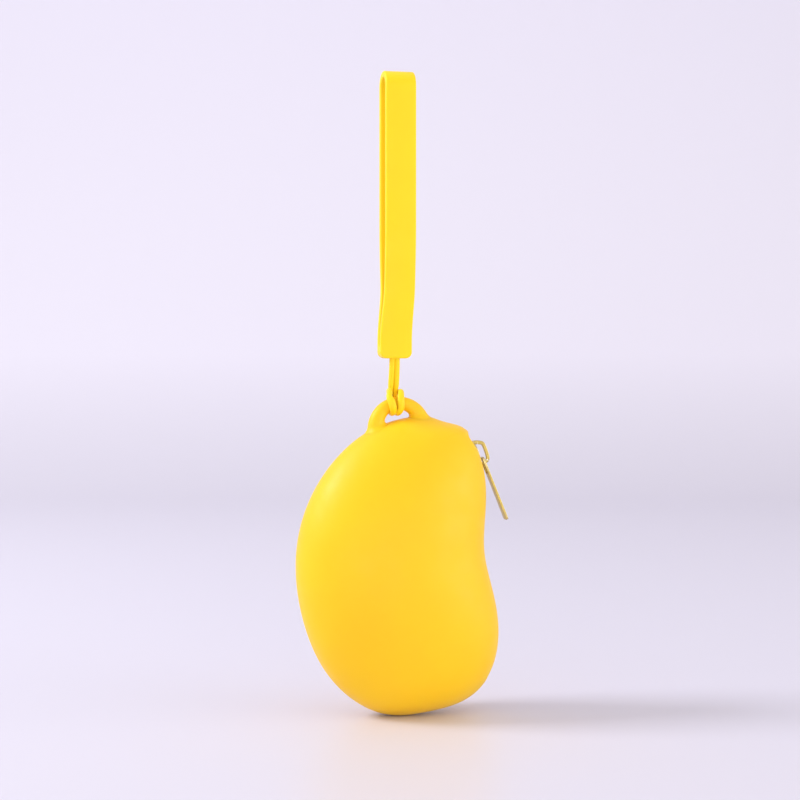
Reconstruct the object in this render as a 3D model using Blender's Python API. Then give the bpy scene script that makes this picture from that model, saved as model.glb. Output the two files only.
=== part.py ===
"""Mango-shaped silicone pouch with a zipper down its hollow side, hung from a wrist strap.

The pouch is a thin moulding with an ear on top. The strap is a flat band loop whose thin end
cord is hitched round the ear. The origin is the inside of the strap loop's top, where a finger
or a hook holds it, so everything lies below it. Z is up, the zipper faces +X, the seam plane
of the pouch is the XZ plane. All sizes are in metres, all angles in degrees.
"""
import math

import bmesh
import bpy
import numpy as np
from mathutils import Matrix, Vector

# Pouch body
POUCH_HEIGHT = 0.1055
POUCH_WIDTH = 0.0725
POUCH_DEPTH = 0.045
POUCH_SHIFT = 0.0005        # middle of the pouch, to the zipper side of the strap's line
WALL = 0.0018
BASE_FLAT_RISE = 0.0004     # how much of the round base the flat takes off
# How far the side outline swells past a plain oval, at even steps round from the crown
# towards the zipper side: two low values make the hollow, the two after it the lower lobe
MANGO_SWELL = (0.981, 1.079, 1.117, 0.932, 0.869, 1.077, 1.163, 1.041,
               0.993, 0.991, 0.998, 1.002, 1.013, 0.996, 0.958, 0.950)
DEPTH_SAG = 1.06            # over 1 sets the thickest part of the pouch a little lower

# Moulded ear on the crown
EAR_RISE = 0.0066           # top of the ear above the top of the pouch
EAR_RADIUS = 0.0082         # arch, to the middle of its bar
EAR_BAR_TOP = 0.0042        # bar diameter at the top of the arch
EAR_BAR_FOOT = 0.0056       # bar diameter at its feet
EAR_SHIFT = 0.0009          # middle of the arch, to the zipper side of the strap's line
EAR_TILT = 9.5              # the arch leans with the sloping crown
EAR_FOOT_SINK = 0.0016      # straight foot that roots in the wall

# Zipper
ZIP_DROP = 0.0059           # upper end of the slot, below the top of the pouch
ZIP_LENGTH = 0.0915         # slot, measured along its curve
SLOT_WIDTH = 0.0096
SLOT_CORNER = 0.0020
COIL_HEIGHT = 0.0013
COIL_HALF = 0.0026          # from the zipper's middle to a coil's outer edge
COIL_PITCH = 0.0016
CHANNEL_HALF = 0.00075      # from the zipper's middle to a coil's inner edge
COIL_GROOVE = 0.0004        # depth of the grooves between the coil's turns
TAPE_THICKNESS = 0.00055
TAPE_HALF = 0.0085
TAPE_TUCK = 0.005           # tape beyond each end of the slot, under the wall
TAPE_SINK = 0.00145         # tape's flat middle, below where it lies on the wall
RAMP_REACH = 0.003          # the tape starts to sink this far before the slot
STOP_LENGTH = 0.0022
END_ROOM = 0.0019           # bare tape between the slot's end and a stop

# Slider and its pull
SLIDER_LENGTH = 0.0088
SLIDER_PLATE = 0.0006
SLIDER_FLANGE = 0.00045
SLIDER_NOSE = 0.0001        # how much narrower the slider's lower end is, each side
SLIDER_POST = 0.0008        # width of the wedge between the plates
SLIDER_TRAVEL = 0.016
CROWN_STRIP = 0.0007
CROWN_WIDTH = 0.0015
CROWN_LENGTH = 0.0086
CROWN_RISE = 0.0028         # top of the crown above the crest line
PULL_LENGTH = 0.0242
PULL_WIDTH = 0.0034
PULL_WAIST = 0.0028
PULL_THICKNESS = 0.0007
PULL_EYE = 0.0042
PULL_LIFT = 5.8             # the pull's lower end stands off the coils by this angle
PULL_SETBACK = 0.0021       # pull's axle, below the slider's middle
AXLE_RISE = 0.0008          # pull's axle above the crest line

# Wrist strap
STRAP_LENGTH = 0.1008       # from the end block's underside to the top of the loop
STRAP_WIDTH = 0.0108
BAND_THICKNESS = 0.0022
LOOP_DEPTH = 0.0110
LOOP_PARALLEL = 0.048       # length over which the two runs stay parallel
NECK_LENGTH = 0.0136        # from the top of the ear to the end block's underside
BLOCK_HEIGHT = 0.0050
BLOCK_THICKNESS = 0.0056
BLOCK_CORNER = 0.0022
CORD_DIAMETER = 0.0020
STRAND_SPACING = 0.0024
HITCH_SLACK = 0.0009        # between the hitch's turns and the ear's bar
WRAP_TURNS = (0, 40, 80, 120, 155, 190, 222)    # degrees round the bar, from behind it
# How far apart the hitch's two legs stand at those turns, against the neck strands
LEFT_LEG_SPREAD = (1, 1, 1, 1, 1.1, 1.6, 2.2)
RIGHT_LEG_SPREAD = (1, 1, 1, 1, 1.1, 1.4, 1.8)
NECK_DROP = 0.0038          # hitch cord's ends, above the hitch's turns

# Fits
SEAT_GAP = 0.0003           # between pieces that touch
TAPE_GAP = 0.00035          # tape behind the wall
RUN_GAP = 0.0004            # slider along the coils
EDGE_ROUND = 0.0004
METAL_ROUND = 0.00015

# Mesh steps
RINGS = 40
RING_SIDES = 36
TAPE_STEPS = 30
TUBE_STEPS = 5
OUTLINE_STEPS = 5761

SLOT_HALF = SLOT_WIDTH / 2
TAPE_TOP = WALL + TAPE_GAP                  # depth of the tape's outer face at the wall
TAPE_FLAT = TAPE_TOP + TAPE_SINK            # depth of the tape's outer face at the coils
COIL_BASE = TAPE_FLAT - SEAT_GAP            # depth of the coils' foot
COIL_CREST = COIL_BASE - COIL_HEIGHT        # depth of the coils' top
PLATE_BASE = COIL_CREST - RUN_GAP           # depth of the top plate's underside
PLATE_TOP = PLATE_BASE - SLIDER_PLATE
SLIDER_HALF = COIL_HALF + RUN_GAP + SLIDER_FLANGE
TAPE_FLAT_HALF = SLIDER_HALF + RUN_GAP
TUCKED_HALF = SLOT_HALF - SEAT_GAP / 2      # from here outwards the tape hugs the wall
UNDER_PLATE_TOP = TAPE_FLAT + TAPE_THICKNESS + RUN_GAP
RAMP_END = END_ROOM - SEAT_GAP              # the tape has sunk from the wall to the coils
SLIDER_START = END_ROOM + STOP_LENGTH + RUN_GAP + SLIDER_LENGTH / 2
EAR_TOP = POUCH_HEIGHT + EAR_RISE
BLOCK_RISE = EAR_TOP + NECK_LENGTH
STRAP_RISE = BLOCK_RISE + STRAP_LENGTH
BAR_Z = EAR_TOP - EAR_BAR_TOP / 2
HANG_Z = STRAP_RISE - BAND_THICKNESS
NECK_TOP = BLOCK_RISE - SEAT_GAP
WRAP_RADIUS = EAR_BAR_TOP / 2 + HITCH_SLACK + CORD_DIAMETER / 2


def clear_scene():
    for item in list(bpy.data.objects):
        bpy.data.objects.remove(item, do_unlink=True)


# Outline of the pouch in its seam plane

def swell(angle):
    """Smooth closed curve through the swell values; the angle runs round from the crown."""
    count = len(MANGO_SWELL)
    waves = np.fft.rfft(MANGO_SWELL) / count
    total = np.full_like(angle, waves[0].real)
    for k in range(1, count // 2):
        total += 2 * (waves[k].real * np.cos(k * angle) - waves[k].imag * np.sin(k * angle))
    return total + waves[count // 2].real * np.cos(count // 2 * angle)


def outline_table():
    """The outline once round, scaled so that it is exactly as wide and high as the pouch."""
    angle = np.linspace(0, 2 * np.pi, OUTLINE_STEPS)
    across = swell(angle) * np.sin(angle)
    up = swell(angle) * np.cos(angle)
    middle = (across.min() + across.max()) / 2
    x = POUCH_SHIFT + (across - middle) * POUCH_WIDTH / (across.max() - across.min())
    z = (up - up.min()) * POUCH_HEIGHT / (up.max() - up.min())
    return angle, x, z


TABLE_ANGLE, TABLE_X, TABLE_Z = outline_table()


def outline(angle):
    """X and Z of the outline at angles round from the crown."""
    angle = np.mod(angle, 2 * np.pi)
    return np.interp(angle, TABLE_ANGLE, TABLE_X), np.interp(angle, TABLE_ANGLE, TABLE_Z)


def half_depth(mid_z):
    """Half the pouch's depth at a ring whose middle is at this height."""
    low, high = outline(np.pi)[1], outline(0.0)[1]
    share = np.clip((mid_z - low) / (high - low), 0, 1) ** (1 / DEPTH_SAG)
    return POUCH_DEPTH / 2 * np.sqrt(np.clip(4 * share * (1 - share), 0, 1))


def ring_frame(turn):
    """Middle, half width and half depth of the oval ring that joins both sides at one turn."""
    right_x, right_z = outline(turn)
    left_x, left_z = outline(2 * np.pi - turn)
    mid_x, mid_z = (right_x + left_x) / 2, (right_z + left_z) / 2
    return (mid_x, mid_z), (right_x - mid_x, right_z - mid_z), half_depth(mid_z)


def skin(turn, around):
    """Point of the pouch's outside: turn runs from crown to foot, around from the zipper."""
    (mid_x, mid_z), (half_x, half_z), depth = ring_frame(turn)
    x = mid_x + half_x * np.cos(around)
    z = mid_z + half_z * np.cos(around)
    return np.stack([x, depth * np.sin(around), z], axis=-1)


def skin_inside(turn, around, depth):
    """The same point moved straight into the wall by depth."""
    step = 2e-3
    along = skin(turn + step, around) - skin(turn - step, around)
    across = skin(turn, around + step) - skin(turn, around - step)
    inward = np.cross(across, along)
    inward /= np.linalg.norm(inward, axis=-1, keepdims=True)
    return skin(turn, around) + inward * depth


# The zipper's crest line: the pouch's outline on the zipper side

class Crest:
    """The seam-plane curve that the zipper follows, by distance from the slot's upper end."""

    def __init__(self):
        half = TABLE_ANGLE <= np.pi
        self.turn, self.x, self.z = TABLE_ANGLE[half], TABLE_X[half], TABLE_Z[half]
        steps = np.hypot(np.diff(self.x), np.diff(self.z))
        self.length = np.concatenate([[0.0], np.cumsum(steps)])
        past_top = self.turn > self.turn[np.argmax(self.z)]
        self.length -= np.interp(ZIP_DROP - POUCH_HEIGHT, -self.z[past_top], self.length[past_top])
        self.way_x = np.gradient(self.x, self.length)
        self.way_z = np.gradient(self.z, self.length)

    def turn_at(self, s):
        return np.interp(s, self.length, self.turn)

    def way(self, s):
        """Unit direction along the curve, down the zipper."""
        x, z = np.interp(s, self.length, self.way_x), np.interp(s, self.length, self.way_z)
        return Vector((x, 0, z)).normalized()

    def point(self, s, out=0.0, y=0.0):
        """Point at a distance along the curve, moved outward and sideways."""
        x, z = np.interp(s, self.length, self.x), np.interp(s, self.length, self.z)
        way = self.way(s)
        return Vector((x - way.z * out, y, z + way.x * out))


CREST = Crest()


def slider_circle():
    """Centre and radius of the circle that fits the crest line where the slider runs."""
    middle = SLIDER_START + SLIDER_TRAVEL / 2
    reach = SLIDER_TRAVEL / 2 + SLIDER_LENGTH * 0.3
    a, b, c = (CREST.point(s) for s in (middle - reach, middle, middle + reach))
    ab, bc = b - a, c - b
    turn = ab.x * bc.z - ab.z * bc.x
    centre = (a + b) / 2 + Vector((-ab.z, 0, ab.x)) * bc.dot(bc + ab) / turn / 2
    return centre, (a - centre).length


SWING_CENTRE, SWING_RADIUS = slider_circle()


def on_swing(angle, out=0.0, y=0.0):
    """Point on the slider's circle; the angle in radians runs down from the slider's middle."""
    first = CREST.point(SLIDER_START) - SWING_CENTRE
    start = math.atan2(first.z, first.x)
    radius = SWING_RADIUS + out
    place = Vector((math.cos(start - angle), 0, math.sin(start - angle))) * radius
    return SWING_CENTRE + place + Vector((0, y, 0))


# Mesh helpers

def new_object(name, mesh):
    item = bpy.data.objects.new(name, mesh)
    bpy.context.scene.collection.objects.link(item)
    return item


def mesh_from(name, build):
    """Mesh filled by a function that is handed an empty bmesh."""
    work = bmesh.new()
    build(work)
    bmesh.ops.recalc_face_normals(work, faces=work.faces)
    mesh = bpy.data.meshes.new(name)
    work.to_mesh(mesh)
    work.free()
    return mesh


def loft(name, rings, tips=None, split=False):
    """Closed solid through rings of points, with flat ends or with a tip point at each end.

    A twisted surface is split into triangles, so that its facets are flat.
    """
    def build(work):
        rows = [[work.verts.new(point) for point in ring] for ring in rings]
        sides = len(rows[0])
        for row, after in zip(rows, rows[1:]):
            for i in range(sides):
                j = (i + 1) % sides
                work.faces.new((row[i], row[j], after[j], after[i]))
        if tips is None:
            work.faces.new(rows[0])
            work.faces.new(rows[-1])
            if split:
                bmesh.ops.triangulate(work, faces=work.faces)
            return
        for tip, row in zip(tips, (rows[0], rows[-1])):
            point = work.verts.new(tip)
            for i in range(sides):
                work.faces.new((point, row[i], row[(i + 1) % sides]))
    return mesh_from(name, build)


def prism(name, outline_points, move):
    """Flat outline extruded by a vector."""
    def build(work):
        face = work.faces.new([work.verts.new(point) for point in outline_points])
        grown = bmesh.ops.extrude_face_region(work, geom=[face])
        fresh = [item for item in grown["geom"] if isinstance(item, bmesh.types.BMVert)]
        bmesh.ops.translate(work, verts=fresh, vec=move)
    return mesh_from(name, build)


def smooth_path(points, steps=TUBE_STEPS):
    """Points of a smooth curve through the given ones."""
    points = [Vector(point) for point in points]
    padded = [2 * points[0] - points[1], *points, 2 * points[-1] - points[-2]]
    path = []
    for a, b, c, d in zip(padded, padded[1:], padded[2:], padded[3:]):
        for k in range(steps):
            t = k / steps
            path.append(0.5 * (2 * b + (c - a) * t + (2 * a - 5 * b + 4 * c - d) * t * t
                               + (3 * b - a - 3 * c + d) * t ** 3))
    return [*path, points[-1]]


def tube(name, path, diameters, resolution):
    """Curve object swept along a path, its ends filled; diameters is one value or one each."""
    curve = bpy.data.curves.new(name, "CURVE")
    curve.dimensions = "3D"
    curve.bevel_depth = 0.5
    curve.bevel_resolution = resolution
    curve.use_fill_caps = True
    spline = curve.splines.new("POLY")
    spline.points.add(len(path) - 1)
    if isinstance(diameters, float):
        diameters = [diameters] * len(path)
    for point, place, diameter in zip(spline.points, path, diameters):
        point.co = (*place, 1.0)
        point.radius = diameter
    return new_object(name, curve)


def to_mesh_object(item):
    """Mesh object with the shape of a curve object, which it takes the place of."""
    depsgraph = bpy.context.evaluated_depsgraph_get()
    mesh = bpy.data.meshes.new_from_object(item.evaluated_get(depsgraph))
    name = item.name
    bpy.data.objects.remove(item)
    work = bmesh.new()
    work.from_mesh(mesh)
    bmesh.ops.remove_doubles(work, verts=work.verts, dist=1e-6)
    bmesh.ops.recalc_face_normals(work, faces=work.faces)
    work.to_mesh(mesh)
    work.free()
    return new_object(name, mesh)


def combine(item, tool, operation):
    """Boolean modifier on item; the tool object stays as a hidden guide."""
    tool.hide_render = True
    tool.display_type = "WIRE"
    step = item.modifiers.new(tool.name, "BOOLEAN")
    step.operation = operation
    step.solver = "EXACT"
    step.object = tool


def round_edges(item, width, segments=1):
    bevel = item.modifiers.new("rounded edges", "BEVEL")
    bevel.width = width
    bevel.segments = segments
    bevel.limit_method = "ANGLE"
    bevel.angle_limit = math.radians(40)


def finish(item, colour, roughness, metallic=0.0, smooth=True):
    """Give a piece its own material and, on a mesh, smooth shading."""
    material = bpy.data.materials.new(item.name)
    material.use_nodes = True
    shader = material.node_tree.nodes["Principled BSDF"]
    shader.inputs["Base Color"].default_value = (*colour, 1.0)
    shader.inputs["Roughness"].default_value = roughness
    shader.inputs["Metallic"].default_value = metallic
    item.data.materials.clear()
    item.data.materials.append(material)
    if smooth and item.type == "MESH":
        item.data.shade_smooth()
        item.data.set_sharp_from_angle(angle=math.radians(35))
    return item


POUCH_YELLOW = (0.98, 0.62, 0.03)
STRAP_YELLOW = (0.98, 0.72, 0.04)
TAPE_YELLOW = (0.90, 0.55, 0.04)
COIL_YELLOW = (0.82, 0.52, 0.06)
BRASS = (0.72, 0.58, 0.30)


# Pouch shell

def body_solid(name, depth):
    """The pouch's outside moved inward by depth, as a closed solid."""
    turns = np.pi * np.arange(1, RINGS) / RINGS
    around = 2 * np.pi * np.arange(RING_SIDES) / RING_SIDES
    grid = skin_inside(turns[:, None], around[None, :], depth)
    tips = []
    for turn, way in ((0.0, -1), (np.pi, 1)):
        x, z = outline(turn)
        tips.append((x, 0.0, z + way * depth))
    return new_object(name, loft(name, grid.tolist(), tips))


def slot_cutter():
    """Long bar with rounded corners along the crest line, through the wall."""
    rings = []
    straight = SLOT_HALF - SLOT_CORNER
    bow = [math.radians(a) for a in (0, 22, 45, 67, 90)]
    starts = [(SLOT_CORNER * (1 - math.cos(a)), straight + SLOT_CORNER * math.sin(a)) for a in bow]
    middle = np.linspace(SLOT_CORNER, ZIP_LENGTH - SLOT_CORNER, 28)[1:-1]
    stations = [*starts, *[(s, SLOT_HALF) for s in middle],
                *[(ZIP_LENGTH - s, half) for s, half in reversed(starts)]]
    for s, half in stations:
        rings.append([CREST.point(s, out, y) for out, y in
                      ((2 * WALL, -half), (2 * WALL, half), (-3 * WALL, half), (-3 * WALL, -half))])
    return new_object("slot_cutter", loft("slot_cutter", rings))


def ear_solid():
    """Round bar bent into an arch, thicker towards its feet, which root in the wall."""
    centre = Vector((EAR_SHIFT, 0, BAR_Z - EAR_RADIUS))
    tilt = math.radians(EAR_TILT)
    path, diameters = [], []
    for k in range(-12, 13):
        share = k / 12
        angle = share * math.pi / 2 - tilt
        path.append(centre + EAR_RADIUS * Vector((math.sin(angle), 0, math.cos(angle))))
        diameters.append(EAR_BAR_TOP + (EAR_BAR_FOOT - EAR_BAR_TOP) * share * share)
    down = Vector((-math.sin(tilt), 0, -math.cos(tilt))) * EAR_FOOT_SINK
    path = [path[0] + down, *path, path[-1] + down]
    diameters = [diameters[0], *diameters, diameters[-1]]
    return to_mesh_object(tube("ear_form", path, diameters, 5))


def base_cutter():
    """Block whose top takes a thin slice off the foot."""
    size = POUCH_WIDTH / 2
    corners = [(-size, -size, -WALL), (size, -size, -WALL), (size, size, -WALL), (-size, size, -WALL)]
    mesh = prism("base_cutter", corners, (0, 0, WALL + BASE_FLAT_RISE))
    return new_object("base_cutter", mesh)


def make_pouch_shell():
    shell = body_solid("pouch_shell", 0.0)
    combine(shell, ear_solid(), "UNION")
    combine(shell, body_solid("cavity_form", WALL), "DIFFERENCE")
    combine(shell, slot_cutter(), "DIFFERENCE")
    combine(shell, base_cutter(), "DIFFERENCE")
    return finish(shell, POUCH_YELLOW, 0.55)


# Zipper

def tape_flatness(s):
    """One where the tape lies flat under the coils, zero where it hugs the wall at the ends."""
    rise = np.clip((s + RAMP_REACH) / (RAMP_END + RAMP_REACH), 0, 1)
    fall = np.clip((ZIP_LENGTH + RAMP_REACH - s) / (RAMP_END + RAMP_REACH), 0, 1)
    return (3 - 2 * rise) * rise ** 2 * (3 - 2 * fall) * fall ** 2


def tape_row(s, across, depth):
    """Points of the tape square to the crest line: flat near the coils, then behind the wall."""
    centre, way = np.array(CREST.point(s)), np.array(CREST.way(s))
    turn = np.full(across.shape, CREST.turn_at(s))
    around = np.zeros(across.shape)
    for _ in range(12):
        hugging = skin_inside(turn, around, depth)
        turn -= (hugging - centre) @ way / (POUCH_HEIGHT / 2)
        around += (across - hugging[:, 1]) / ring_frame(turn)[2]
    flat = np.array([CREST.point(s, -depth - TAPE_SINK, y) for y in across])
    near = np.clip((TUCKED_HALF - abs(across)) / (TUCKED_HALF - TAPE_FLAT_HALF), 0, 1)
    blend = (near * tape_flatness(s))[:, None]
    return list(hugging * (1 - blend) + flat * blend)


def make_tape(name, side):
    """One half of the zipper's tape, from the channel to its hem behind the wall."""
    hem = (TAPE_HALF + SLOT_HALF) / 2
    reach = np.array((CHANNEL_HALF, COIL_HALF, TAPE_FLAT_HALF, TUCKED_HALF, hem, TAPE_HALF))
    end = [-TAPE_TUCK, *np.linspace(-RAMP_REACH, RAMP_END, 5)]
    middle = np.linspace(RAMP_END, ZIP_LENGTH - RAMP_END, TAPE_STEPS)[1:-1]
    rings = []
    for s in [*end, *middle, *[ZIP_LENGTH - s for s in reversed(end)]]:
        room = ring_frame(CREST.turn_at(s))[2] - TAPE_TOP - TAPE_THICKNESS
        limit = min(1.0, 0.8 * room / TAPE_HALF)
        across = side * (CHANNEL_HALF + (reach - CHANNEL_HALF) * limit)
        upper = tape_row(s, across, TAPE_TOP)
        lower = tape_row(s, across[::-1], TAPE_TOP + TAPE_THICKNESS)
        rings.append(upper + lower)
    return finish(new_object(name, loft(name, rings, split=True)), TAPE_YELLOW, 0.8)


def make_coil(name, side, shift):
    """One row of the zipper's coil: turns side by side, grooved between."""
    first = END_ROOM + STOP_LENGTH + SEAT_GAP
    last = ZIP_LENGTH - first
    count = int((last - first) / COIL_PITCH) - 1
    rings = []
    for k in range(count):
        for share, groove in ((0.05, 1), (0.25, 0), (0.75, 0), (0.95, 1)):
            s = first + shift * COIL_PITCH + (k + share) * COIL_PITCH
            cut = groove * COIL_GROOVE
            inner, outer = side * (CHANNEL_HALF + cut / 2), side * (COIL_HALF - cut / 2)
            top = -COIL_CREST - cut
            rings.append([CREST.point(s, out, y) for out, y in
                          ((-COIL_BASE, inner), (-COIL_BASE, outer), (top, outer), (top, inner))])
    return finish(new_object(name, loft(name, rings)), COIL_YELLOW, 0.45, smooth=False)


def zip_block(name, start, length, y_near, y_far):
    """Small clamp that follows the crest line."""
    rings = []
    section = ((-COIL_BASE, y_near), (-COIL_BASE, y_far), (-COIL_CREST, y_far), (-COIL_CREST, y_near))
    for s in np.linspace(start, start + length, 4):
        rings.append([CREST.point(s, out, y) for out, y in section])
    block = new_object(name, loft(name, rings))
    round_edges(block, METAL_ROUND * 2)
    return finish(block, BRASS, 0.35, 1.0)


def make_stops():
    for name, side in (("top_stop_front", -1), ("top_stop_rear", 1)):
        zip_block(name, END_ROOM, STOP_LENGTH, side * CHANNEL_HALF, side * COIL_HALF)
    start = ZIP_LENGTH - END_ROOM - STOP_LENGTH
    zip_block("bottom_stop", start, STOP_LENGTH, -COIL_HALF, COIL_HALF)


# Slider and pull, built round the circle that the slider travels on

def swept_section(name, section, half_length, steps=7):
    """Section of outward and sideways points swept along the slider's circle.

    The sideways points narrow towards the lower end.
    """
    rings = []
    for share in np.linspace(-1, 1, steps):
        angle = share * half_length / SWING_RADIUS
        nose = SLIDER_NOSE * max(0.0, share) / SLIDER_HALF
        rings.append([on_swing(angle, out, y * (1 - nose)) for out, y in section])
    return new_object(name, loft(name, rings))


def make_slider_body():
    inner, outer = SLIDER_HALF - SLIDER_FLANGE, SLIDER_HALF
    lip = -(TAPE_FLAT - RUN_GAP)
    hood = ((lip, -outer), (-PLATE_TOP, -outer), (-PLATE_TOP, outer), (lip, outer),
            (lip, inner), (-PLATE_BASE, inner), (-PLATE_BASE, -inner), (lip, -inner))
    slider = swept_section("slider_body", hood, SLIDER_LENGTH / 2)
    floor_half = SLIDER_HALF - SLIDER_FLANGE
    floor_low = UNDER_PLATE_TOP + SLIDER_PLATE
    floor = ((-floor_low, -floor_half), (-floor_low, floor_half),
             (-UNDER_PLATE_TOP, floor_half), (-UNDER_PLATE_TOP, -floor_half))
    combine(slider, swept_section("slider_floor", floor, SLIDER_LENGTH / 2), "UNION")
    half = SLIDER_POST / 2
    bite = SLIDER_PLATE / 2
    wedge_rings = []
    for share, width in ((0.92, half), (0.75, half), (0.5, half), (0.35, half / 2)):
        angle = -share * SLIDER_LENGTH / 2 / SWING_RADIUS
        wedge_rings.append([on_swing(angle, out, y) for out, y in
                            ((-UNDER_PLATE_TOP - bite, -width), (-UNDER_PLATE_TOP - bite, width),
                             (-PLATE_BASE + bite, width), (-PLATE_BASE + bite, -width))])
    combine(slider, new_object("slider_wedge", loft("slider_wedge", wedge_rings)), "UNION")
    return finish(slider, BRASS, 0.3, 1.0)


def make_slider_crown():
    """Thin strip bent over the slider's top plate, which the pull hangs in."""
    foot = -PLATE_TOP + SEAT_GAP
    half = CROWN_LENGTH / 2
    bend = 2 * CROWN_STRIP

    def rise(inset):
        """One leg of the strip, from its foot to the top, moved inward."""
        slant = bend / 3 + inset * math.sin(math.pi / 4)
        return [(half - inset, foot), (half - inset, CROWN_RISE - bend),
                (half - slant, CROWN_RISE - slant), (half - bend, CROWN_RISE - inset)]

    def other_leg(points):
        return [(-x, y) for x, y in points]

    outer, inner = rise(0), rise(CROWN_STRIP)
    edge = other_leg(outer) + outer[::-1] + inner + other_leg(inner)[::-1]
    place = [on_swing(along / SWING_RADIUS, out, -CROWN_WIDTH / 2) for along, out in edge]
    crown = new_object("slider_crown", prism("slider_crown", place, (0, CROWN_WIDTH, 0)))
    round_edges(crown, METAL_ROUND)
    return finish(crown, BRASS, 0.3, 1.0)


def pull_frame():
    """Axle of the pull, and its directions along the hanging pull and away from the pouch."""
    angle = PULL_SETBACK / SWING_RADIUS
    axle = on_swing(angle, AXLE_RISE)
    lift = math.radians(PULL_LIFT)
    square = (axle - SWING_CENTRE).normalized()
    away = square * math.cos(lift) - Vector((square.z, 0, -square.x)) * math.sin(lift)
    return axle, Vector((away.z, 0, -away.x)), away


def make_pull_tab():
    """Flat pull with an eye for the crown at one end and a round tip."""
    axle, along, away = pull_frame()
    head = PULL_THICKNESS / 2
    neck = head + PULL_EYE + PULL_THICKNESS
    tip = PULL_LENGTH - head
    half, waist = PULL_WIDTH / 2, PULL_WAIST / 2
    side = [(-head, half), (neck, half), (neck + PULL_WIDTH, waist), (tip - 2 * PULL_WIDTH, waist),
            (tip - PULL_WIDTH, half), (tip - half, half)]
    cap = [(tip - half + half * math.sin(a), half * math.cos(a)) for a in np.linspace(0.4, 1.2, 3)]
    edge = [*side, *cap, *[(x, -y) for x, y in reversed(side + cap)]]

    def place(x, y, out):
        return axle + along * x + Vector((0, y, 0)) + away * out

    points = [place(x, y, -PULL_THICKNESS / 2) for x, y in edge]
    tab = new_object("pull_tab", prism("pull_tab", points, away * PULL_THICKNESS))
    eye_half = half - PULL_THICKNESS
    eye_end = head + PULL_EYE
    eye = [place(x, y, -PULL_THICKNESS) for x, y in
           ((head, -eye_half), (eye_end, -eye_half), (eye_end, eye_half), (head, eye_half))]
    eye_tool = new_object("eye_cutter", prism("eye_cutter", eye, away * 2 * PULL_THICKNESS))
    combine(tab, eye_tool, "DIFFERENCE")
    round_edges(tab, METAL_ROUND)
    return finish(tab, BRASS, 0.3, 1.0)


# Strap

def band_section(centre, across, half_width, half_thickness):
    """Flat bar's section with its edges rounded off."""
    r = EDGE_ROUND
    w, t = half_width, half_thickness
    corners = ((w - r, t), (w, t - r), (w, r - t), (w - r, -t),
               (r - w, -t), (-w, r - t), (-w, t - r), (r - w, t))
    return [centre + Vector((x, 0, 0)) + across * y for x, y in corners]


def make_wrist_band():
    """Flat band bent into a long loop, its two ends moulded together in a block."""
    half_gap = (LOOP_DEPTH - BAND_THICKNESS) / 2
    closed_gap = (BLOCK_THICKNESS - BAND_THICKNESS) / 2
    bend_z = STRAP_RISE - BAND_THICKNESS / 2 - half_gap
    taper_z = bend_z - LOOP_PARALLEL
    end_z = BLOCK_RISE + BLOCK_HEIGHT
    path = []
    for z in np.linspace(BLOCK_RISE + BLOCK_HEIGHT / 2, end_z, 2):
        path.append(Vector((0, closed_gap, z)))
    for share in np.linspace(0.1, 1, 9):
        ease = share * share * (3 - 2 * share)
        y = closed_gap + (half_gap - closed_gap) * ease
        path.append(Vector((0, y, end_z + (taper_z - end_z) * share)))
    path.append(Vector((0, half_gap, (taper_z + bend_z) / 2)))
    for angle in np.linspace(0, math.pi / 2, 7):
        path.append(Vector((0, half_gap * math.cos(angle), bend_z + half_gap * math.sin(angle))))
    path = [*path, *[Vector((0, -p.y, p.z)) for p in reversed(path[:-1])]]
    rings = []
    for k, point in enumerate(path):
        before, after = path[max(k - 1, 0)], path[min(k + 1, len(path) - 1)]
        way = (after - before).normalized()
        across = Vector((0, way.z, -way.y))
        rings.append(band_section(point, across, STRAP_WIDTH / 2, BAND_THICKNESS / 2))
    band = new_object("wrist_band", loft("wrist_band", rings))
    combine(band, end_block(), "UNION")
    return finish(band, STRAP_YELLOW, 0.5)


def end_block():
    """Where the loop's two ends join: a block with its lower corners rounded."""
    half, r = STRAP_WIDTH / 2, BLOCK_CORNER
    low, high = BLOCK_RISE, BLOCK_RISE + BLOCK_HEIGHT
    corner = [(half - r + r * math.sin(a), low + r - r * math.cos(a))
              for a in np.linspace(0, math.pi / 2, 5)]
    edge = [*corner, (half, high), (-half, high), *[(-x, z) for x, z in reversed(corner)]]
    points = [(x, -BLOCK_THICKNESS / 2, z) for x, z in edge]
    block = new_object("end_block", prism("end_block", points, (0, BLOCK_THICKNESS, 0)))
    round_edges(block, EDGE_ROUND)
    return block


def rear_strand(side, z):
    """Place of a neck strand at a height above the ear's bar: behind the bar, then forward."""
    share = min(max(z / (NECK_TOP - BAR_Z), 0.0), 1.0)
    return Vector((side * STRAND_SPACING / 2, WRAP_RADIUS * (1 - share) ** 1.3, BAR_Z + z))


def make_neck_strands():
    """Two short cords between the end block and the hitch."""
    top = NECK_TOP - BAR_Z
    low = WRAP_RADIUS + NECK_DROP + SEAT_GAP
    for name, side in (("neck_strand_left", -1), ("neck_strand_right", 1)):
        path = [rear_strand(side, z) for z in np.linspace(top, low, 7)]
        finish(tube(name, path, CORD_DIAMETER, 2), STRAP_YELLOW, 0.5)


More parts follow.
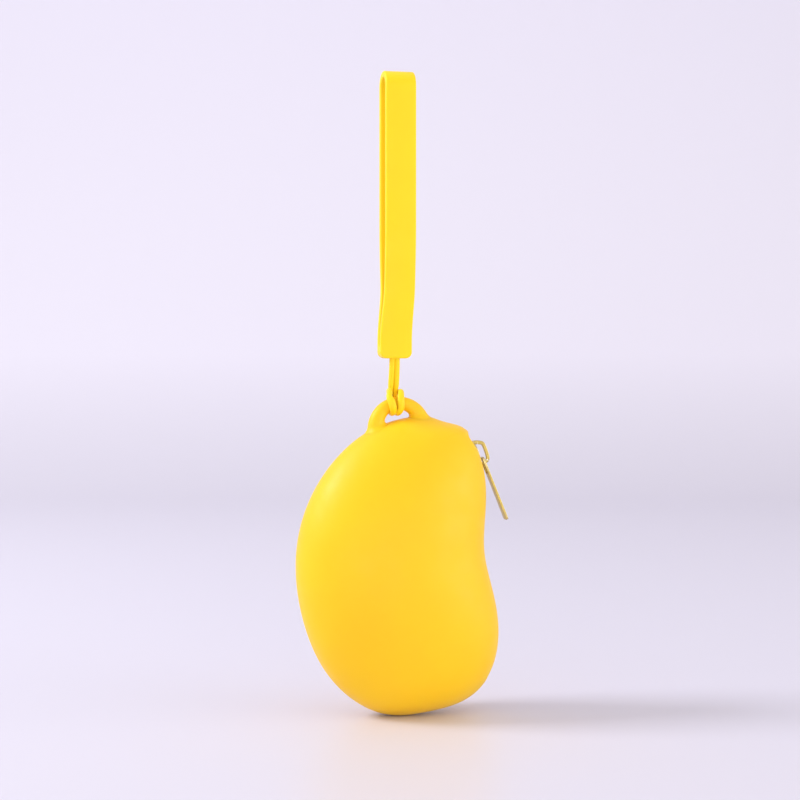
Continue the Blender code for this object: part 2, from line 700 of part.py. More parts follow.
def hitch_route():
    """Route of the hitch: down behind the bar, under it and up the front as one leg, back
    round the neck, down as the other leg, under the bar and up behind it again."""
    r = WRAP_RADIUS
    half = STRAND_SPACING / 2
    top = r + NECK_DROP

    def wrap(x, degrees):
        """Point round the bar; 0 is behind it, 90 under it and 180 before it."""
        a = math.radians(degrees)
        return Vector((x, r * math.cos(a), BAR_Z - r * math.sin(a)))

    left = [rear_strand(-1, top), rear_strand(-1, top * 2 / 3), rear_strand(-1, top / 3)]
    left += [wrap(-half * spread, a) for a, spread in zip(WRAP_TURNS, LEFT_LEG_SPREAD)]
    shoulder = BAR_Z + r + CORD_DIAMETER * 0.55
    back = r + CORD_DIAMETER * 0.75
    collar = []
    for x, y, z in ((-2.9 * half, -0.15 * r, shoulder), (-3.1 * half, 0.6 * r, shoulder),
                    (-2.3 * half, 0.93 * back, shoulder), (0, 1.1 * back, BAR_Z + r),
                    (2.3 * half, 0.93 * back, shoulder), (3.1 * half, 0.6 * r, shoulder),
                    (2.6 * half, -0.15 * r, shoulder)):
        collar.append(Vector((x, y, z)))
    right = [rear_strand(1, top), rear_strand(1, top * 2 / 3), rear_strand(1, top / 3)]
    right += [wrap(half * spread, a) for a, spread in zip(WRAP_TURNS, RIGHT_LEG_SPREAD)]
    return left + collar + right[::-1]


def make_hitch_cord():
    return finish(tube("hitch_cord", smooth_path(hitch_route(), 3), CORD_DIAMETER, 2), STRAP_YELLOW, 0.5)


# Placing: each moving piece hangs on an empty that stands on its joint's axis

def add_pivot(name, place, parent, parent_place):
    pivot = bpy.data.objects.new(name, None)
    bpy.context.scene.collection.objects.link(pivot)
    pivot.parent = parent
    pivot.location = Vector(place) - Vector(parent_place)
    return pivot


def shift_shape(item, move):
    """Move a shape against its object's origin."""
    item.data.transform(Matrix.Translation(move))


def assemble():
    """Hang every piece from the strap's grip, with an empty at each joint."""
    grip = Vector((0, 0, HANG_Z))
    neck = Vector((0, 0, (NECK_TOP + BAR_Z + WRAP_RADIUS + NECK_DROP) / 2))
    bar = Vector((0, 0, BAR_Z))
    axle = pull_frame()[0]
    world = Vector((0, 0, 0))
    root = add_pivot("strap_grip", world, None, world)
    neck_pivot = add_pivot("neck_pivot", neck, root, grip)
    ear_pivot = add_pivot("ear_pivot", bar, neck_pivot, neck)
    slider_pivot = add_pivot("slider_pivot", SWING_CENTRE, ear_pivot, bar)
    pull_pivot = add_pivot("pull_pivot", axle, slider_pivot, SWING_CENTRE)
    homes = {"wrist_band": (root, grip), "end_block": (root, grip),
             "neck_strand_left": (root, grip), "neck_strand_right": (root, grip),
             "hitch_cord": (neck_pivot, neck),
             "pull_tab": (pull_pivot, axle), "eye_cutter": (pull_pivot, axle)}
    for name in ("slider_body", "slider_floor", "slider_wedge", "slider_crown"):
        homes[name] = (slider_pivot, SWING_CENTRE)
    for item in list(bpy.context.scene.objects):
        if item.type == "EMPTY":
            continue
        pivot, place = homes.get(item.name, (ear_pivot, bar))
        shift_shape(item, -place)
        item.parent = pivot


def main():
    clear_scene()
    make_pouch_shell()
    make_tape("zipper_tape_front", -1)
    make_tape("zipper_tape_rear", 1)
    make_coil("zipper_coil_front", -1, 0.0)
    make_coil("zipper_coil_rear", 1, 0.5)
    make_stops()
    make_slider_body()
    make_slider_crown()
    make_pull_tab()
    make_wrist_band()
    make_neck_strands()
    make_hitch_cord()
    assemble()


main()
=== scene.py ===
"""Mango-shaped silicone pouch on its wrist strap: the dressed model and its photo studio.

Lengths are in metres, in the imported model's frame: the origin is the inside of the strap
loop's top, Z is up, the zipper faces +X and the seam plane of the pouch is the XZ plane.
"""
import math

import bmesh
import bpy
import numpy as np
from bpy.props import FloatProperty, FloatVectorProperty, PointerProperty
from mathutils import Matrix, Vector
from mathutils.bvhtree import BVHTree


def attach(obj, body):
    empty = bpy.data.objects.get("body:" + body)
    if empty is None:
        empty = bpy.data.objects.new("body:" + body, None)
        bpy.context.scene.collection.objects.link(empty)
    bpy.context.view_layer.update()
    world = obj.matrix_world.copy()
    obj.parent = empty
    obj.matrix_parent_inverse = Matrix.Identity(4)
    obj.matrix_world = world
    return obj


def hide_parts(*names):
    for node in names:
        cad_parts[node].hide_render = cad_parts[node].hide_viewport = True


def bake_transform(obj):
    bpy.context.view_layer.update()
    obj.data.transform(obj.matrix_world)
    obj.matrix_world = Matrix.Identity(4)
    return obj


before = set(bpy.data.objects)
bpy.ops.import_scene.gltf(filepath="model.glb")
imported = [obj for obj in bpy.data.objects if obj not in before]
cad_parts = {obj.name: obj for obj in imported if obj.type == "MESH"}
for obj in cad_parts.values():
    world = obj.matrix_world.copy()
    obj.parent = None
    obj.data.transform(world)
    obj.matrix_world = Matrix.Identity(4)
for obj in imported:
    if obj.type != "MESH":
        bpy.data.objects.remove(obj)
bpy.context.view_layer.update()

bl_info = {
    "name": "Silicone pouch on a wrist strap",
    "version": (1, 0, 0),
    "blender": (4, 5, 0),
    "location": "View3D > Sidebar > Pouch",
    "description": "Builds a zip pouch of moulded silicone, its zipper, its strap and a studio",
    "category": "Object",
}

CREASE = 50.0               # edges of small metal pieces that bend by more stay sharp
ARC_HANDLE = 0.55           # share of its radius that a round cubic curve's handles reach
WORN_PLATING = "#EDE3CC"

# Pouch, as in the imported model; heights count from its foot
POUCH_HEIGHT = 0.1055
POUCH_WIDTH = 0.0730
POUCH_DEPTH = 0.045
POUCH_SHIFT = 0.00075
WALL = 0.0018
BASE_FLAT_RISE = 0.0001
# Swell of the outline at even angles, from the crown round by the zipper side
MANGO_SWELL = (0.981, 1.079, 1.117, 0.932, 0.869, 1.077, 1.163, 1.041,
               0.993, 0.991, 0.998, 1.002, 1.013, 0.996, 0.958, 0.950)
SHOULDER_DIP = 0.027        # flattening between the crown and the slot's upper end
SHOULDER_ARC = (0.22, 0.66)
DEPTH_SAG = 1.06
HANG_Z = 0.2243             # strap's grip above the foot: the origin
EAR_RADIUS = 0.0082
EAR_BAR_TOP = 0.0045
EAR_BAR_FOOT = 0.0064
EAR_SHIFT = 0.0009
EAR_TILT = 9.5              # degrees
EAR_FOOT_SINK = 0.0016

# Zipper
ZIP_DROP = 0.0059
ZIP_LENGTH = 0.0915
SLOT_HALF = 0.0048
COIL_PITCH = 0.0016
COIL_HALF = 0.0026
TAPE_TOP = 0.00215          # depth of the tape's outer face at the wall
TAPE_SINK = 0.00145         # its flat middle lies this much deeper
TAPE_THICKNESS = 0.00055
TAPE_FLAT_HALF = 0.00385
TAPE_TUCKED_HALF = 0.00465
RAMP_REACH = 0.003          # the tape starts to sink this far before the slot
RAMP_END = 0.0016           # and has sunk this far into it
END_ROOM = 0.0019
STOP_LENGTH = 0.0022
TAPE_TAIL = 0.0045          # the tape runs this far past each end of the slot
STITCH_ROWS = (0.00115, 0.00178)    # distances of the rows of stitches from the middle
# The circle that the slider's joint runs on, and the slider's middle on it at rest
SWING_CENTRE = np.array((-0.011097, 0.0, -0.145995))
SWING_RADIUS = 0.04336
SWING_START = math.radians(18.27)
SLIDER_SEAT = 0.00045
PLATE_BASE = -0.0016        # the slider's top plate, against the crest line
PLATE_TOP = -0.0010
FLOOR_TOP = -0.00455        # the slider's lower plate
FLOOR_LOW = -0.00515
PULL_LENGTH = 0.0242
PULL_THICKNESS = 0.0009
PULL_EYE = 0.0052
PULL_CORNER = 0.0007
PULL_LIFT = 6.9             # degrees off the crest line
PULL_SETBACK = 0.0021
AXLE_RISE = 0.0008
CROWN_STRIP = 0.0011
CROWN_HALF = 0.00075

# Strap
STRAP_WIDTH = 0.0108
BAND_THICKNESS = 0.0022
LOOP_DEPTH = 0.0110
LOOP_PARALLEL = 0.048
LOOP_SAG = 0.0008           # the soft loop's top hangs this much lower
BLOCK_LOW = -0.0986         # underside of the end block
BLOCK_HEIGHT = 0.0050
BLOCK_THICKNESS = 0.0056
BLOCK_CORNER = 0.0022
BAR_Z = -0.1143             # middle of the ear's bar at its top
WRAP_DEPTH = 0.0038         # half the hitch's turn round the bar, front to back
WRAP_HEIGHT = 0.0035        # and from its middle down
# The band hangs a little to the zipper side and turns over to the other side above its block
BAND_SHIFT = 0.0005
CORD_SHIFT = -0.0006
TURN_OVER = (0.073, 0.093)  # distances below the origin
BLOCK_FLARE = 0.05
# The hitch's two legs by their angle round the bar: X in millimetres, then how far the
# squeezed cord is flattened
WRAP_TURNS = (0, 40, 80, 120, 155, 190, 222)
LEFT_LEG = ((-1.0, 1.0), (-1.0, 1.0), (-0.98, 1.05), (-0.85, 1.15), (-1.35, 1.3), (-2.0, 1.3),
            (-2.6, 1.1))
RIGHT_LEG = ((1.0, 1.0), (1.0, 1.0), (1.0, 1.05), (1.2, 1.15), (1.55, 1.2), (1.4, 1.3), (1.6, 1.25))
NECK_PINCH = 0.0037         # height over the bar at which the hitch squeezes the neck


def linear(colour):
    """Linear RGBA of an sRGB hex colour."""
    parts = [int(colour[k:k + 2], 16) / 255 for k in (1, 3, 5)]
    return (*[p / 12.92 if p <= 0.04045 else ((p + 0.055) / 1.055) ** 2.4 for p in parts], 1.0)


def colour_property(name, description, colour):
    return FloatVectorProperty(name=name, description=description, default=linear(colour),
                               size=4, subtype="COLOR", min=0.0, max=1.0)


def length_property(name, description, value):
    return FloatProperty(name=name, description=description, default=value, unit="LENGTH",
                         min=0.0, precision=5)


def power_property(name, description, value):
    return FloatProperty(name=name, description=description, default=value, unit="POWER", min=0.0)


class PouchLook(bpy.types.PropertyGroup):
    """What a user would change on the pouch."""

    colour: colour_property("Silicone colour", "Pigment of the pouch's silicone", "#FFC903")
    slot_end: length_property("Slot end", "Length over which each end of the slot rounds off", 0.0042)
    ear_fillet: length_property("Ear fillet", "Radius where the ear grows out of the crown", 0.0013)


class ZipperLook(bpy.types.PropertyGroup):
    """What a user would change on the zipper."""

    tape_colour: colour_property("Tape colour", "Dye of the woven tape", "#E9B93A")
    coil_colour: colour_property("Coil colour", "Pigment of the nylon coil", "#DDAA2C")
    metal_colour: colour_property("Metal colour", "Plating of the slider, pull and stops", "#C8AE55")
    wire: length_property("Coil wire", "Diameter of the coil's nylon wire", 0.00072)
    thread: length_property("Thread", "Diameter of the sewing thread", 0.00024)


class StrapLook(bpy.types.PropertyGroup):
    """What a user would change on the wrist strap."""

    colour: colour_property("Silicone colour", "Pigment of the strap's silicone", "#FDD908")
    cord: length_property("Cord diameter", "Diameter of the strap's thin end cord", 0.0020)
    spacing: length_property("Cord spacing", "Distance between the neck's two strands", 0.00175)
    edge: length_property("Edge radius", "Rounding of the band's long edges", 0.00055)


class StageLook(bpy.types.PropertyGroup):
    """What a user would change on the studio."""

    paper_colour: colour_property("Paper colour", "Seamless paper under and behind the pouch", "#ECE9F9")
    key_power: power_property("Left lamp", "Power of the large lamp on the left", 13.0)
    fill_power: power_property("Right lamp", "Power of the large lamp on the right", 5.5)
    front_power: power_property("Front lamp", "Power of the low lamp in front", 2.0)
    sky: FloatProperty(name="Room light", description="Strength of the even light of the room",
                       default=0.80, min=0.0, subtype="FACTOR")
    azimuth: FloatProperty(name="Camera azimuth", description="Camera's turn about the pouch",
                           default=math.radians(-14.0), subtype="ANGLE")
    distance: length_property("Camera distance", "From the camera to the pouch's seam plane", 0.6)


# Outline of the pouch and the zipper's crest line

def swell(angle):
    """Radius of the outline before it is brought to size: a smooth curve through MANGO_SWELL."""
    count = len(MANGO_SWELL)
    waves = np.fft.rfft(MANGO_SWELL) / count
    total = np.full_like(angle, waves[0].real)
    for k in range(1, count // 2):
        total += 2 * (waves[k].real * np.cos(k * angle) - waves[k].imag * np.sin(k * angle))
    total += waves[count // 2].real * np.cos(count // 2 * angle)
    first, last = SHOULDER_ARC
    share = np.clip((np.mod(angle, 2 * np.pi) - first) / (last - first), 0, 1)
    return total * (1 - SHOULDER_DIP * np.sin(np.pi * share) ** 2)


def outline_table():
    angle = np.linspace(0, 2 * np.pi, 5761)
    across = swell(angle) * np.sin(angle)
    up = swell(angle) * np.cos(angle)
    middle = (across.min() + across.max()) / 2
    x = POUCH_SHIFT + (across - middle) * POUCH_WIDTH / (across.max() - across.min())
    z = (up - up.min()) * POUCH_HEIGHT / (up.max() - up.min())
    return angle, x, z - HANG_Z


TABLE_ANGLE, TABLE_X, TABLE_Z = outline_table()


def outline(angle):
    """X and Z of the outline at angles that run round from the crown to the zipper side."""
    angle = np.mod(angle, 2 * np.pi)
    return np.interp(angle, TABLE_ANGLE, TABLE_X), np.interp(angle, TABLE_ANGLE, TABLE_Z)


def half_depth(mid_z):
    """Half the pouch's depth where the middle of its width lies at a height."""
    low, high = outline(np.pi)[1], outline(0.0)[1]
    share = np.clip((mid_z - low) / (high - low), 0, 1) ** (1 / DEPTH_SAG)
    return POUCH_DEPTH / 2 * np.sqrt(np.clip(4 * share * (1 - share), 0, 1))


def ring_depth(turn):
    """Half depth of the oval ring that joins both sides of the outline at one turn."""
    return half_depth((outline(turn)[1] + outline(2 * np.pi - turn)[1]) / 2)


def skin(turn, around):
    """Point of the pouch's outside: turn runs from crown to foot, around from the zipper."""
    right_x, right_z = outline(turn)
    left_x, left_z = outline(2 * np.pi - turn)
    mid_x, mid_z = (right_x + left_x) / 2, (right_z + left_z) / 2
    x = mid_x + (right_x - mid_x) * np.cos(around)
    z = mid_z + (right_z - mid_z) * np.cos(around)
    return np.stack([x, half_depth(mid_z) * np.sin(around), z], axis=-1)


def unit(vectors):
    return vectors / np.linalg.norm(vectors, axis=-1, keepdims=True)


def skin_inside(turn, around, depth):
    """The same point moved straight into the wall by depth."""
    step = 2e-3
    along = skin(turn + step, around) - skin(turn - step, around)
    across = skin(turn, around + step) - skin(turn, around - step)
    return skin(turn, around) + unit(np.cross(across, along)) * depth


def crest_table():
    """Turn, X, Z and direction of the crest line, by distance from the slot's upper end."""
    half = TABLE_ANGLE <= np.pi
    turn, x, z = TABLE_ANGLE[half], TABLE_X[half], TABLE_Z[half]
    length = np.concatenate([[0.0], np.cumsum(np.hypot(np.diff(x), np.diff(z)))])
    past_top = turn > turn[np.argmax(z)]
    length -= np.interp(ZIP_DROP - POUCH_HEIGHT + HANG_Z, -z[past_top], length[past_top])
    return length, turn, x, z, np.gradient(x, length), np.gradient(z, length)


CREST_LENGTH, CREST_TURN, CREST_X, CREST_Z, CREST_WAY_X, CREST_WAY_Z = crest_table()


def crest_turn(s):
    return np.interp(s, CREST_LENGTH, CREST_TURN)


def crest(s, out, y):
    """Points at distances along the crest line, moved outward and sideways."""
    s, out, y = np.broadcast_arrays(np.asarray(s, float), out, y)
    way_x, way_z = np.interp(s, CREST_LENGTH, CREST_WAY_X), np.interp(s, CREST_LENGTH, CREST_WAY_Z)
    size = np.hypot(way_x, way_z)
    x, z = np.interp(s, CREST_LENGTH, CREST_X), np.interp(s, CREST_LENGTH, CREST_Z)
    return np.stack([x - way_z / size * out, y, z + way_x / size * out], axis=-1)


def on_swing(along, out, y):
    """Points on the slider's circle, by distance down from the slider's middle."""
    along, out, y = np.broadcast_arrays(np.asarray(along, float), out, y)
    angle = SWING_START - along / SWING_RADIUS
    radius = SWING_RADIUS + out
    return SWING_CENTRE + np.stack([np.cos(angle) * radius, y, np.sin(angle) * radius], axis=-1)


def on_slider(along, out, y):
    """The same, with out counted from the crest line of this fuller pouch."""
    return on_swing(along, np.asarray(out) + SLIDER_SEAT, y)


# Mesh helpers

def new_object(name, work):
    """Object in the scene with a bmesh's shape; the bmesh is freed."""
    mesh = bpy.data.meshes.new(name)
    work.to_mesh(mesh)
    work.free()
    piece = bpy.data.objects.new(name, mesh)
    bpy.context.scene.collection.objects.link(piece)
    return piece


def smooth(piece, crease=180.0):
    """Shade a piece smooth, apart from edges that bend by more than crease degrees."""
    piece.data.shade_smooth()
    if crease < 180.0:
        piece.data.set_sharp_from_angle(angle=math.radians(crease))
    return piece


def new_piece(name, points, faces, crease=180.0, uv=None):
    """Mesh object from points and faces; uv gives each point's place in millimetres."""
    work = bmesh.new()
    corners = [work.verts.new(point) for point in points]
    for face in faces:
        work.faces.new([corners[k] for k in face])
    bmesh.ops.recalc_face_normals(work, faces=work.faces)
    if uv is not None:
        work.verts.index_update()
        layer = work.loops.layers.uv.new("weave")
        for loop in (loop for face in work.faces for loop in face.loops):
            loop[layer].uv = uv[loop.vert.index]
    return smooth(new_object(name, work), crease)


def bridge(row, after, closed=False):
    """Faces between two rows of point numbers."""
    if closed:
        row, after = [*row, row[0]], [*after, after[0]]
    return [(row[k], row[k + 1], after[k + 1], after[k]) for k in range(len(row) - 1)]


def tube_faces(rows, sides, caps=True):
    """Faces of a tube whose points are stored ring by ring."""
    rings = np.arange(rows * sides).reshape(rows, sides).tolist()
    faces = [face for ring, after in zip(rings, rings[1:]) for face in bridge(ring, after, True)]
    return faces + [tuple(rings[0]), tuple(rings[-1])] if caps else faces


def tube(name, rings, crease=180.0):
    """Closed tube through rings of points."""
    rings = np.array(rings)
    return new_piece(name, rings.reshape(-1, 3), tube_faces(*rings.shape[:2]), crease)


def smooth_path(points, steps):
    """Points of a smooth curve through the given ones."""
    points = np.asarray(points, float)
    padded = np.concatenate([[2 * points[0] - points[1]], points, [2 * points[-1] - points[-2]]])
    t = (np.arange(steps) / steps)[:, None]
    path = []
    for a, b, c, d in zip(padded, padded[1:], padded[2:], padded[3:]):
        path.append(0.5 * (2 * b + (c - a) * t + (2 * a - 5 * b + 4 * c - d) * t ** 2
                           + (3 * b - a - 3 * c + d) * t ** 3))
    return np.concatenate([*path, points[-1:]])


def tube_rings(path, radius, sides, wide=1.0):
    """Rings of points round a path, turned as little as possible from one to the next.

    wide stretches each ring across the first bend's plane.
    """
    path = np.asarray(path, float)
    way = unit(np.gradient(path, axis=0))
    radius = np.broadcast_to(np.asarray(radius, float), (len(path),))
    wide = np.broadcast_to(np.asarray(wide, float), (len(path),))
    side = np.cross(way[0], (0.0, 1.0, 0.0))
    if np.linalg.norm(side) < 0.1:
        side = np.cross(way[0], (1.0, 0.0, 0.0))
    angle = 2 * np.pi * np.arange(sides) / sides
    rings = []
    for point, along, size, stretch in zip(path, way, radius, wide):
        side = unit(side - along * side.dot(along))
        up = np.cross(along, side)
        rings.append(point + size * (stretch * np.cos(angle)[:, None] * side
                                     + np.sin(angle)[:, None] * up))
    return np.array(rings)


def flat_plate(name, edge, hole, place, low, high, rounding):
    """Plate with an outline of (along, y) points, an optional hole, and rounded edges.

    place turns along, out and y into a point.
    """
    work = bmesh.new()
    edges = []
    for loop in (edge, hole):
        points = [work.verts.new((x, y, 0.0)) for x, y in loop]
        edges += [work.edges.new((a, b)) for a, b in zip(points, points[1:] + points[:1])]
    bmesh.ops.triangle_fill(work, edges=edges, use_beauty=True)
    grown = bmesh.ops.extrude_face_region(work, geom=list(work.faces))
    for item in grown["geom"]:
        if isinstance(item, bmesh.types.BMVert):
            item.co.z = 1.0
    bmesh.ops.dissolve_limit(work, angle_limit=math.radians(1), verts=work.verts, edges=work.edges)
    for corner in work.verts:
        corner.co = place(corner.co.x, high if corner.co.z > 0.5 else low, corner.co.y)
    bmesh.ops.recalc_face_normals(work, faces=work.faces)
    return settle(new_object(name, work), rounding)


def settle(piece, rounding):
    """Round a piece's sharp edges for good and shade it smooth."""
    bevel = piece.modifiers.new("rounding", "BEVEL")
    bevel.width = rounding
    bevel.segments = 3
    bevel.limit_method = "ANGLE"
    bevel.angle_limit = math.radians(35)
    bevel.harden_normals = False
    depsgraph = bpy.context.evaluated_depsgraph_get()
    mesh = bpy.data.meshes.new_from_object(piece.evaluated_get(depsgraph))
    piece.modifiers.clear()
    piece.data = mesh
    return smooth(piece, CREASE)


def join(name, pieces, crease=180.0):
    """One object of several pieces' meshes."""
    work = bmesh.new()
    for piece in pieces:
        work.from_mesh(piece.data)
        bpy.data.objects.remove(piece)
    return smooth(new_object(name, work), crease)


def dress(piece, material, body, slot, nodes=None):
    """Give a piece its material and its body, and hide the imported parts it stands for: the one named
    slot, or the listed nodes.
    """
    piece.data.materials.clear()
    piece.data.materials.append(material)
    if body:
        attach(piece, body)
    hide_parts(*([slot] if nodes is None else nodes))


# Materials

def new_material(name, kind="TexCoord", output="Object", **settings):
    """Material, its node tree, its shader and the coordinates that its patterns follow."""
    material = bpy.data.materials.new(name)
    material.use_nodes = True
    tree = material.node_tree
    place = add_node(tree, kind, **settings).outputs[output]
    return material, tree, tree.nodes["Principled BSDF"], place


def connect(tree, item, inputs):
    """Give a node's inputs plain values or other nodes' output sockets."""
    for key, value in inputs.items():
        if isinstance(value, bpy.types.NodeSocket):
            tree.links.new(value, item.inputs[key])
        else:
            item.inputs[key].default_value = value


def add_node(tree, kind, inputs=None, **settings):
    """New shader node with its inputs and its settings."""
    item = tree.nodes.new("ShaderNode" + kind)
    for key, value in settings.items():
        setattr(item, key, value)
    connect(tree, item, inputs or {})
    return item


def shade(colour, factor):
    """A darker or brighter colour."""
    return (*[min(1.0, part * factor) for part in colour[:3]], 1.0)


def finish_shader(tree, shader, tint, rough, bumps, **inputs):
    """Wire a shader's looks and set its other inputs.

    tint is a mask and the colours at 0 and 1. rough is one value, or a mask, the values at its
    ends and, where they aren't 0 and 1, those ends. Each of bumps, finest first, is a height, a
    strength and a distance.
    """
    mixed = add_node(tree, "Mix", dict(zip((0, 6, 7), tint)), data_type="RGBA")
    looks = {"Base Color": mixed.outputs[2], "Roughness": rough}
    if isinstance(rough, tuple):
        keys = ("Value", "To Min", "To Max", "From Min", "From Max")
        looks["Roughness"] = add_node(tree, "MapRange", dict(zip(keys, rough))).outputs[0]
    for height, strength, distance in bumps:
        bump = {"Height": height, "Strength": strength, "Distance": distance}
        if "Normal" in looks:
            bump["Normal"] = looks["Normal"]
        looks["Normal"] = add_node(tree, "Bump", bump).outputs["Normal"]
    looks.update({key.replace("_", " "): value for key, value in inputs.items()})
    connect(tree, shader, looks)


def moulded_silicone(name, colour, seam):
    """Platinum-cured silicone rubber, compression moulded in a spark-eroded steel tool.

    The eroded tool leaves a fine even grain, which gives the eye a soft wide sheen with no
    mirror spot. The pigment lies in a slightly clear rubber, so shade turns warm, not grey.
    """
    material, tree, shader, place = new_material(name)
    # Pigment streaks where the rubber flowed in the tool, about 14 mm long; patches about 6 mm
    # wide that handling has made shine a little more; the grain, really about 0.05 mm and drawn
    # at 0.35 mm so that it doesn't flicker; dents about 12 mm wide where the cured wall shrank
    flow, worn, grain, dent = (
        add_node(tree, "TexNoise", {"Vector": place, "Scale": scale, "Detail": detail}).outputs["Fac"]
        for scale, detail in ((70.0, 3.0), (160.0, 2.0), (2900.0, 2.0), (85.0, 1.0)))
    bumps = [(grain, 0.25, 0.00003), (dent, 0.3, 0.0004)]
    if seam:
        # Parting line of the tool: a raised line 0.3 mm wide in the seam plane
        axes = add_node(tree, "SeparateXYZ", {"Vector": place})
        off = add_node(tree, "Math", {0: axes.outputs["Y"]}, operation="ABSOLUTE")
        line = add_node(tree, "MapRange", {"Value": off.outputs[0], "From Min": 0.00008,
                                           "From Max": 0.00025, "To Min": 1.0, "To Max": 0.0})
        bumps.append((line.outputs[0], 0.6, 0.00008))
    finish_shader(tree, shader, (flow, shade(colour, 0.955), shade(colour, 1.03)),
                  (worn, 0.44, 0.56, 0.3, 0.7), bumps, IOR=1.41, Subsurface_Weight=0.15,
                  Subsurface_Radius=(1.0, 0.55, 0.12), Subsurface_Scale=0.0018,
                  Sheen_Weight=0.08, Sheen_Roughness=0.5)
    return material


def woven_tape(name, colour):
    """Polyester yarn, warp-knitted and woven as zipper tape, dyed in the piece.

    The yarns' round backs catch light in small even ridges, so the tape looks dry and ribbed; the
    colour has this painted in, as painted highlight on the yarns' backs and painted shade between them.
    """
    material, tree, shader, place = new_material(name, "UVMap", "UV", uv_map="weave")
    # The coordinates are in millimetres: warp yarns every 0.5 mm, weft yarns every 0.4 mm
    yarns = []
    for way, scale, drift in (("X", 0.63, 0.6), ("Y", 0.79, 0.5)):
        wave = add_node(tree, "TexWave", {"Vector": place, "Scale": scale, "Distortion": drift,
                                          "Detail": 1.0}, bands_direction=way)
        yarns.append(wave.outputs["Fac"])
    cloth = add_node(tree, "Math", dict(enumerate(yarns)), operation="MULTIPLY").outputs[0]
    fluff = add_node(tree, "TexNoise", {"Vector": place, "Scale": 5.0, "Detail": 4.0}).outputs["Fac"]
    # The colour's weave is painted light: painted highlight on the yarns' backs and painted shade
    # between them, varied at random by the fluff
    yarn_shade_and_fluff = add_node(tree, "Math", {0: cloth, 1: fluff}, operation="MULTIPLY").outputs[0]
    finish_shader(tree, shader, (yarn_shade_and_fluff, shade(colour, 0.62), shade(colour, 1.15)),
                  (fluff, 0.72, 0.92), [(cloth, 0.8, 0.00012)], IOR=1.5, Sheen_Weight=0.25,
                  Sheen_Roughness=0.4)
    return material


def drawn_nylon(name, colour):
    """Nylon monofilament, drawn through a die and heat-set round a mandrel into a coil.

    The drawn wire is smooth and slightly clear, so each turn has a small soft highlight.
    """
    material, tree, shader, place = new_material(name)
    # Heat-setting dulls the wire in patches about 0.6 mm wide
    patch = add_node(tree, "TexNoise", {"Vector": place, "Scale": 1600.0, "Detail": 2.0}).outputs["Fac"]
    finish_shader(tree, shader, (patch, shade(colour, 0.85), shade(colour, 1.12)),
                  (patch, 0.28, 0.46), [(patch, 0.15, 0.00004)], IOR=1.53, Subsurface_Weight=0.1,
                  Subsurface_Scale=0.0005)
    return material


def spun_thread(name, colour):
    """Spun polyester sewing thread: a dry twisted yarn with a faint sheen."""
    material, tree, shader, place = new_material(name)
    # Two plies twisted together, one turn about every 0.5 mm; in the colour they are painted shade in
    # the grooves between plies and painted highlight on the plies' backs
    ply = add_node(tree, "TexWave", {"Vector": place, "Scale": 600.0, "Distortion": 1.5},
                   bands_direction="DIAGONAL").outputs["Fac"]
    finish_shader(tree, shader, (ply, shade(colour, 0.7), shade(colour, 1.15)), 0.78,
                  [(ply, 0.5, 0.00004)], IOR=1.5, Sheen_Weight=0.2)
    return material


def plated_zinc(name, colour):
    """Zinc alloy, die cast, tumbled and plated light gold.

    Tumbling leaves fine cross scratches that blur what the plating mirrors, and the plating
    wears pale along the edges.
    """
    material, tree, shader, place = new_material(name)
    # Tumbling marks: real scratches are 0.02 mm wide, drawn as streaks 0.15 mm wide
    stretch = add_node(tree, "Mapping", {"Vector": place, "Scale": (1.0, 5.0, 1.0),
                                         "Rotation": (0.3, 0.5, 0.2)})
    marks = add_node(tree, "TexNoise", {"Vector": stretch.outputs[0], "Scale": 1400.0,
                                        "Detail": 4.0, "Roughness": 0.65}).outputs["Fac"]
    # Cast skin under the plating: soft waves about 1 mm wide
    waves = add_node(tree, "TexNoise", {"Vector": place, "Scale": 900.0, "Detail": 1.0}).outputs["Fac"]
    edge = add_node(tree, "NewGeometry").outputs["Pointiness"]
    worn = add_node(tree, "MapRange", {"Value": edge, "From Min": 0.52, "From Max": 0.62})
    finish_shader(tree, shader, (worn.outputs[0], colour, linear(WORN_PLATING)),
                  (marks, 0.24, 0.42, 0.3, 0.7), [(marks, 0.2, 0.00002), (waves, 0.25, 0.00008)],
                  Metallic=1.0)
    return material


def seamless_paper(name, colour):
    """Coated background paper with a satin face and a faint fibre tooth.

    The face is dull straight on and shows a soft image of the pouch's foot at a low angle. The
    colour is darker on the floor and lightens up the wall: painted shade that keeps the more
    brightly lit floor as dim as the wall.
    """
    material, tree, shader, place = new_material(name)
    height = add_node(tree, "SeparateXYZ", {"Vector": place}).outputs["Z"]
    # Painted shade: the paper's colour is darker on the floor and lightens up the wall over PAPER_FADE,
    # offsetting the lamps that light the floor more
    rise = add_node(tree, "MapRange", {"Value": height, "From Min": FLOOR_Z,
                                       "From Max": FLOOR_Z + PAPER_FADE}).outputs[0]
    tooth = add_node(tree, "TexNoise", {"Vector": place, "Scale": 900.0, "Detail": 3.0}).outputs["Fac"]
    finish_shader(tree, shader, (rise, shade(colour, 0.83), colour), (tooth, 0.4, 0.46), [],
                  IOR=1.45)
    return material


# Pouch

def skin_rows(slot_end):
    """Turn of each row of the skin and the half width of the slot's edge there, None if shut."""
    lip = WALL / 2
    first, last = -lip, ZIP_LENGTH + lip
    wide = SLOT_HALF + lip
    bow = np.linspace(0, np.pi / 2, 12)
    near = slot_end * (1 - np.cos(bow))
    half = wide * np.sin(bow) ** 0.9
    middle = np.linspace(first + slot_end, last - slot_end, 66)[1:-1]
    rows = [(turn, None) for turn in np.linspace(0, crest_turn(first), 15)[1:-1]]
    rows.append((crest_turn(first), None))
    rows += [(crest_turn(first + s), h) for s, h in zip(near[1:], half[1:])]
    rows += [(crest_turn(s), wide) for s in middle]
    rows += [(crest_turn(last - s), h) for s, h in zip(near[:0:-1], half[:0:-1])]
    rows.append((crest_turn(last), None))
    rows += [(turn, None) for turn in np.linspace(crest_turn(last), np.pi, 26)[1:-1]]
    return rows


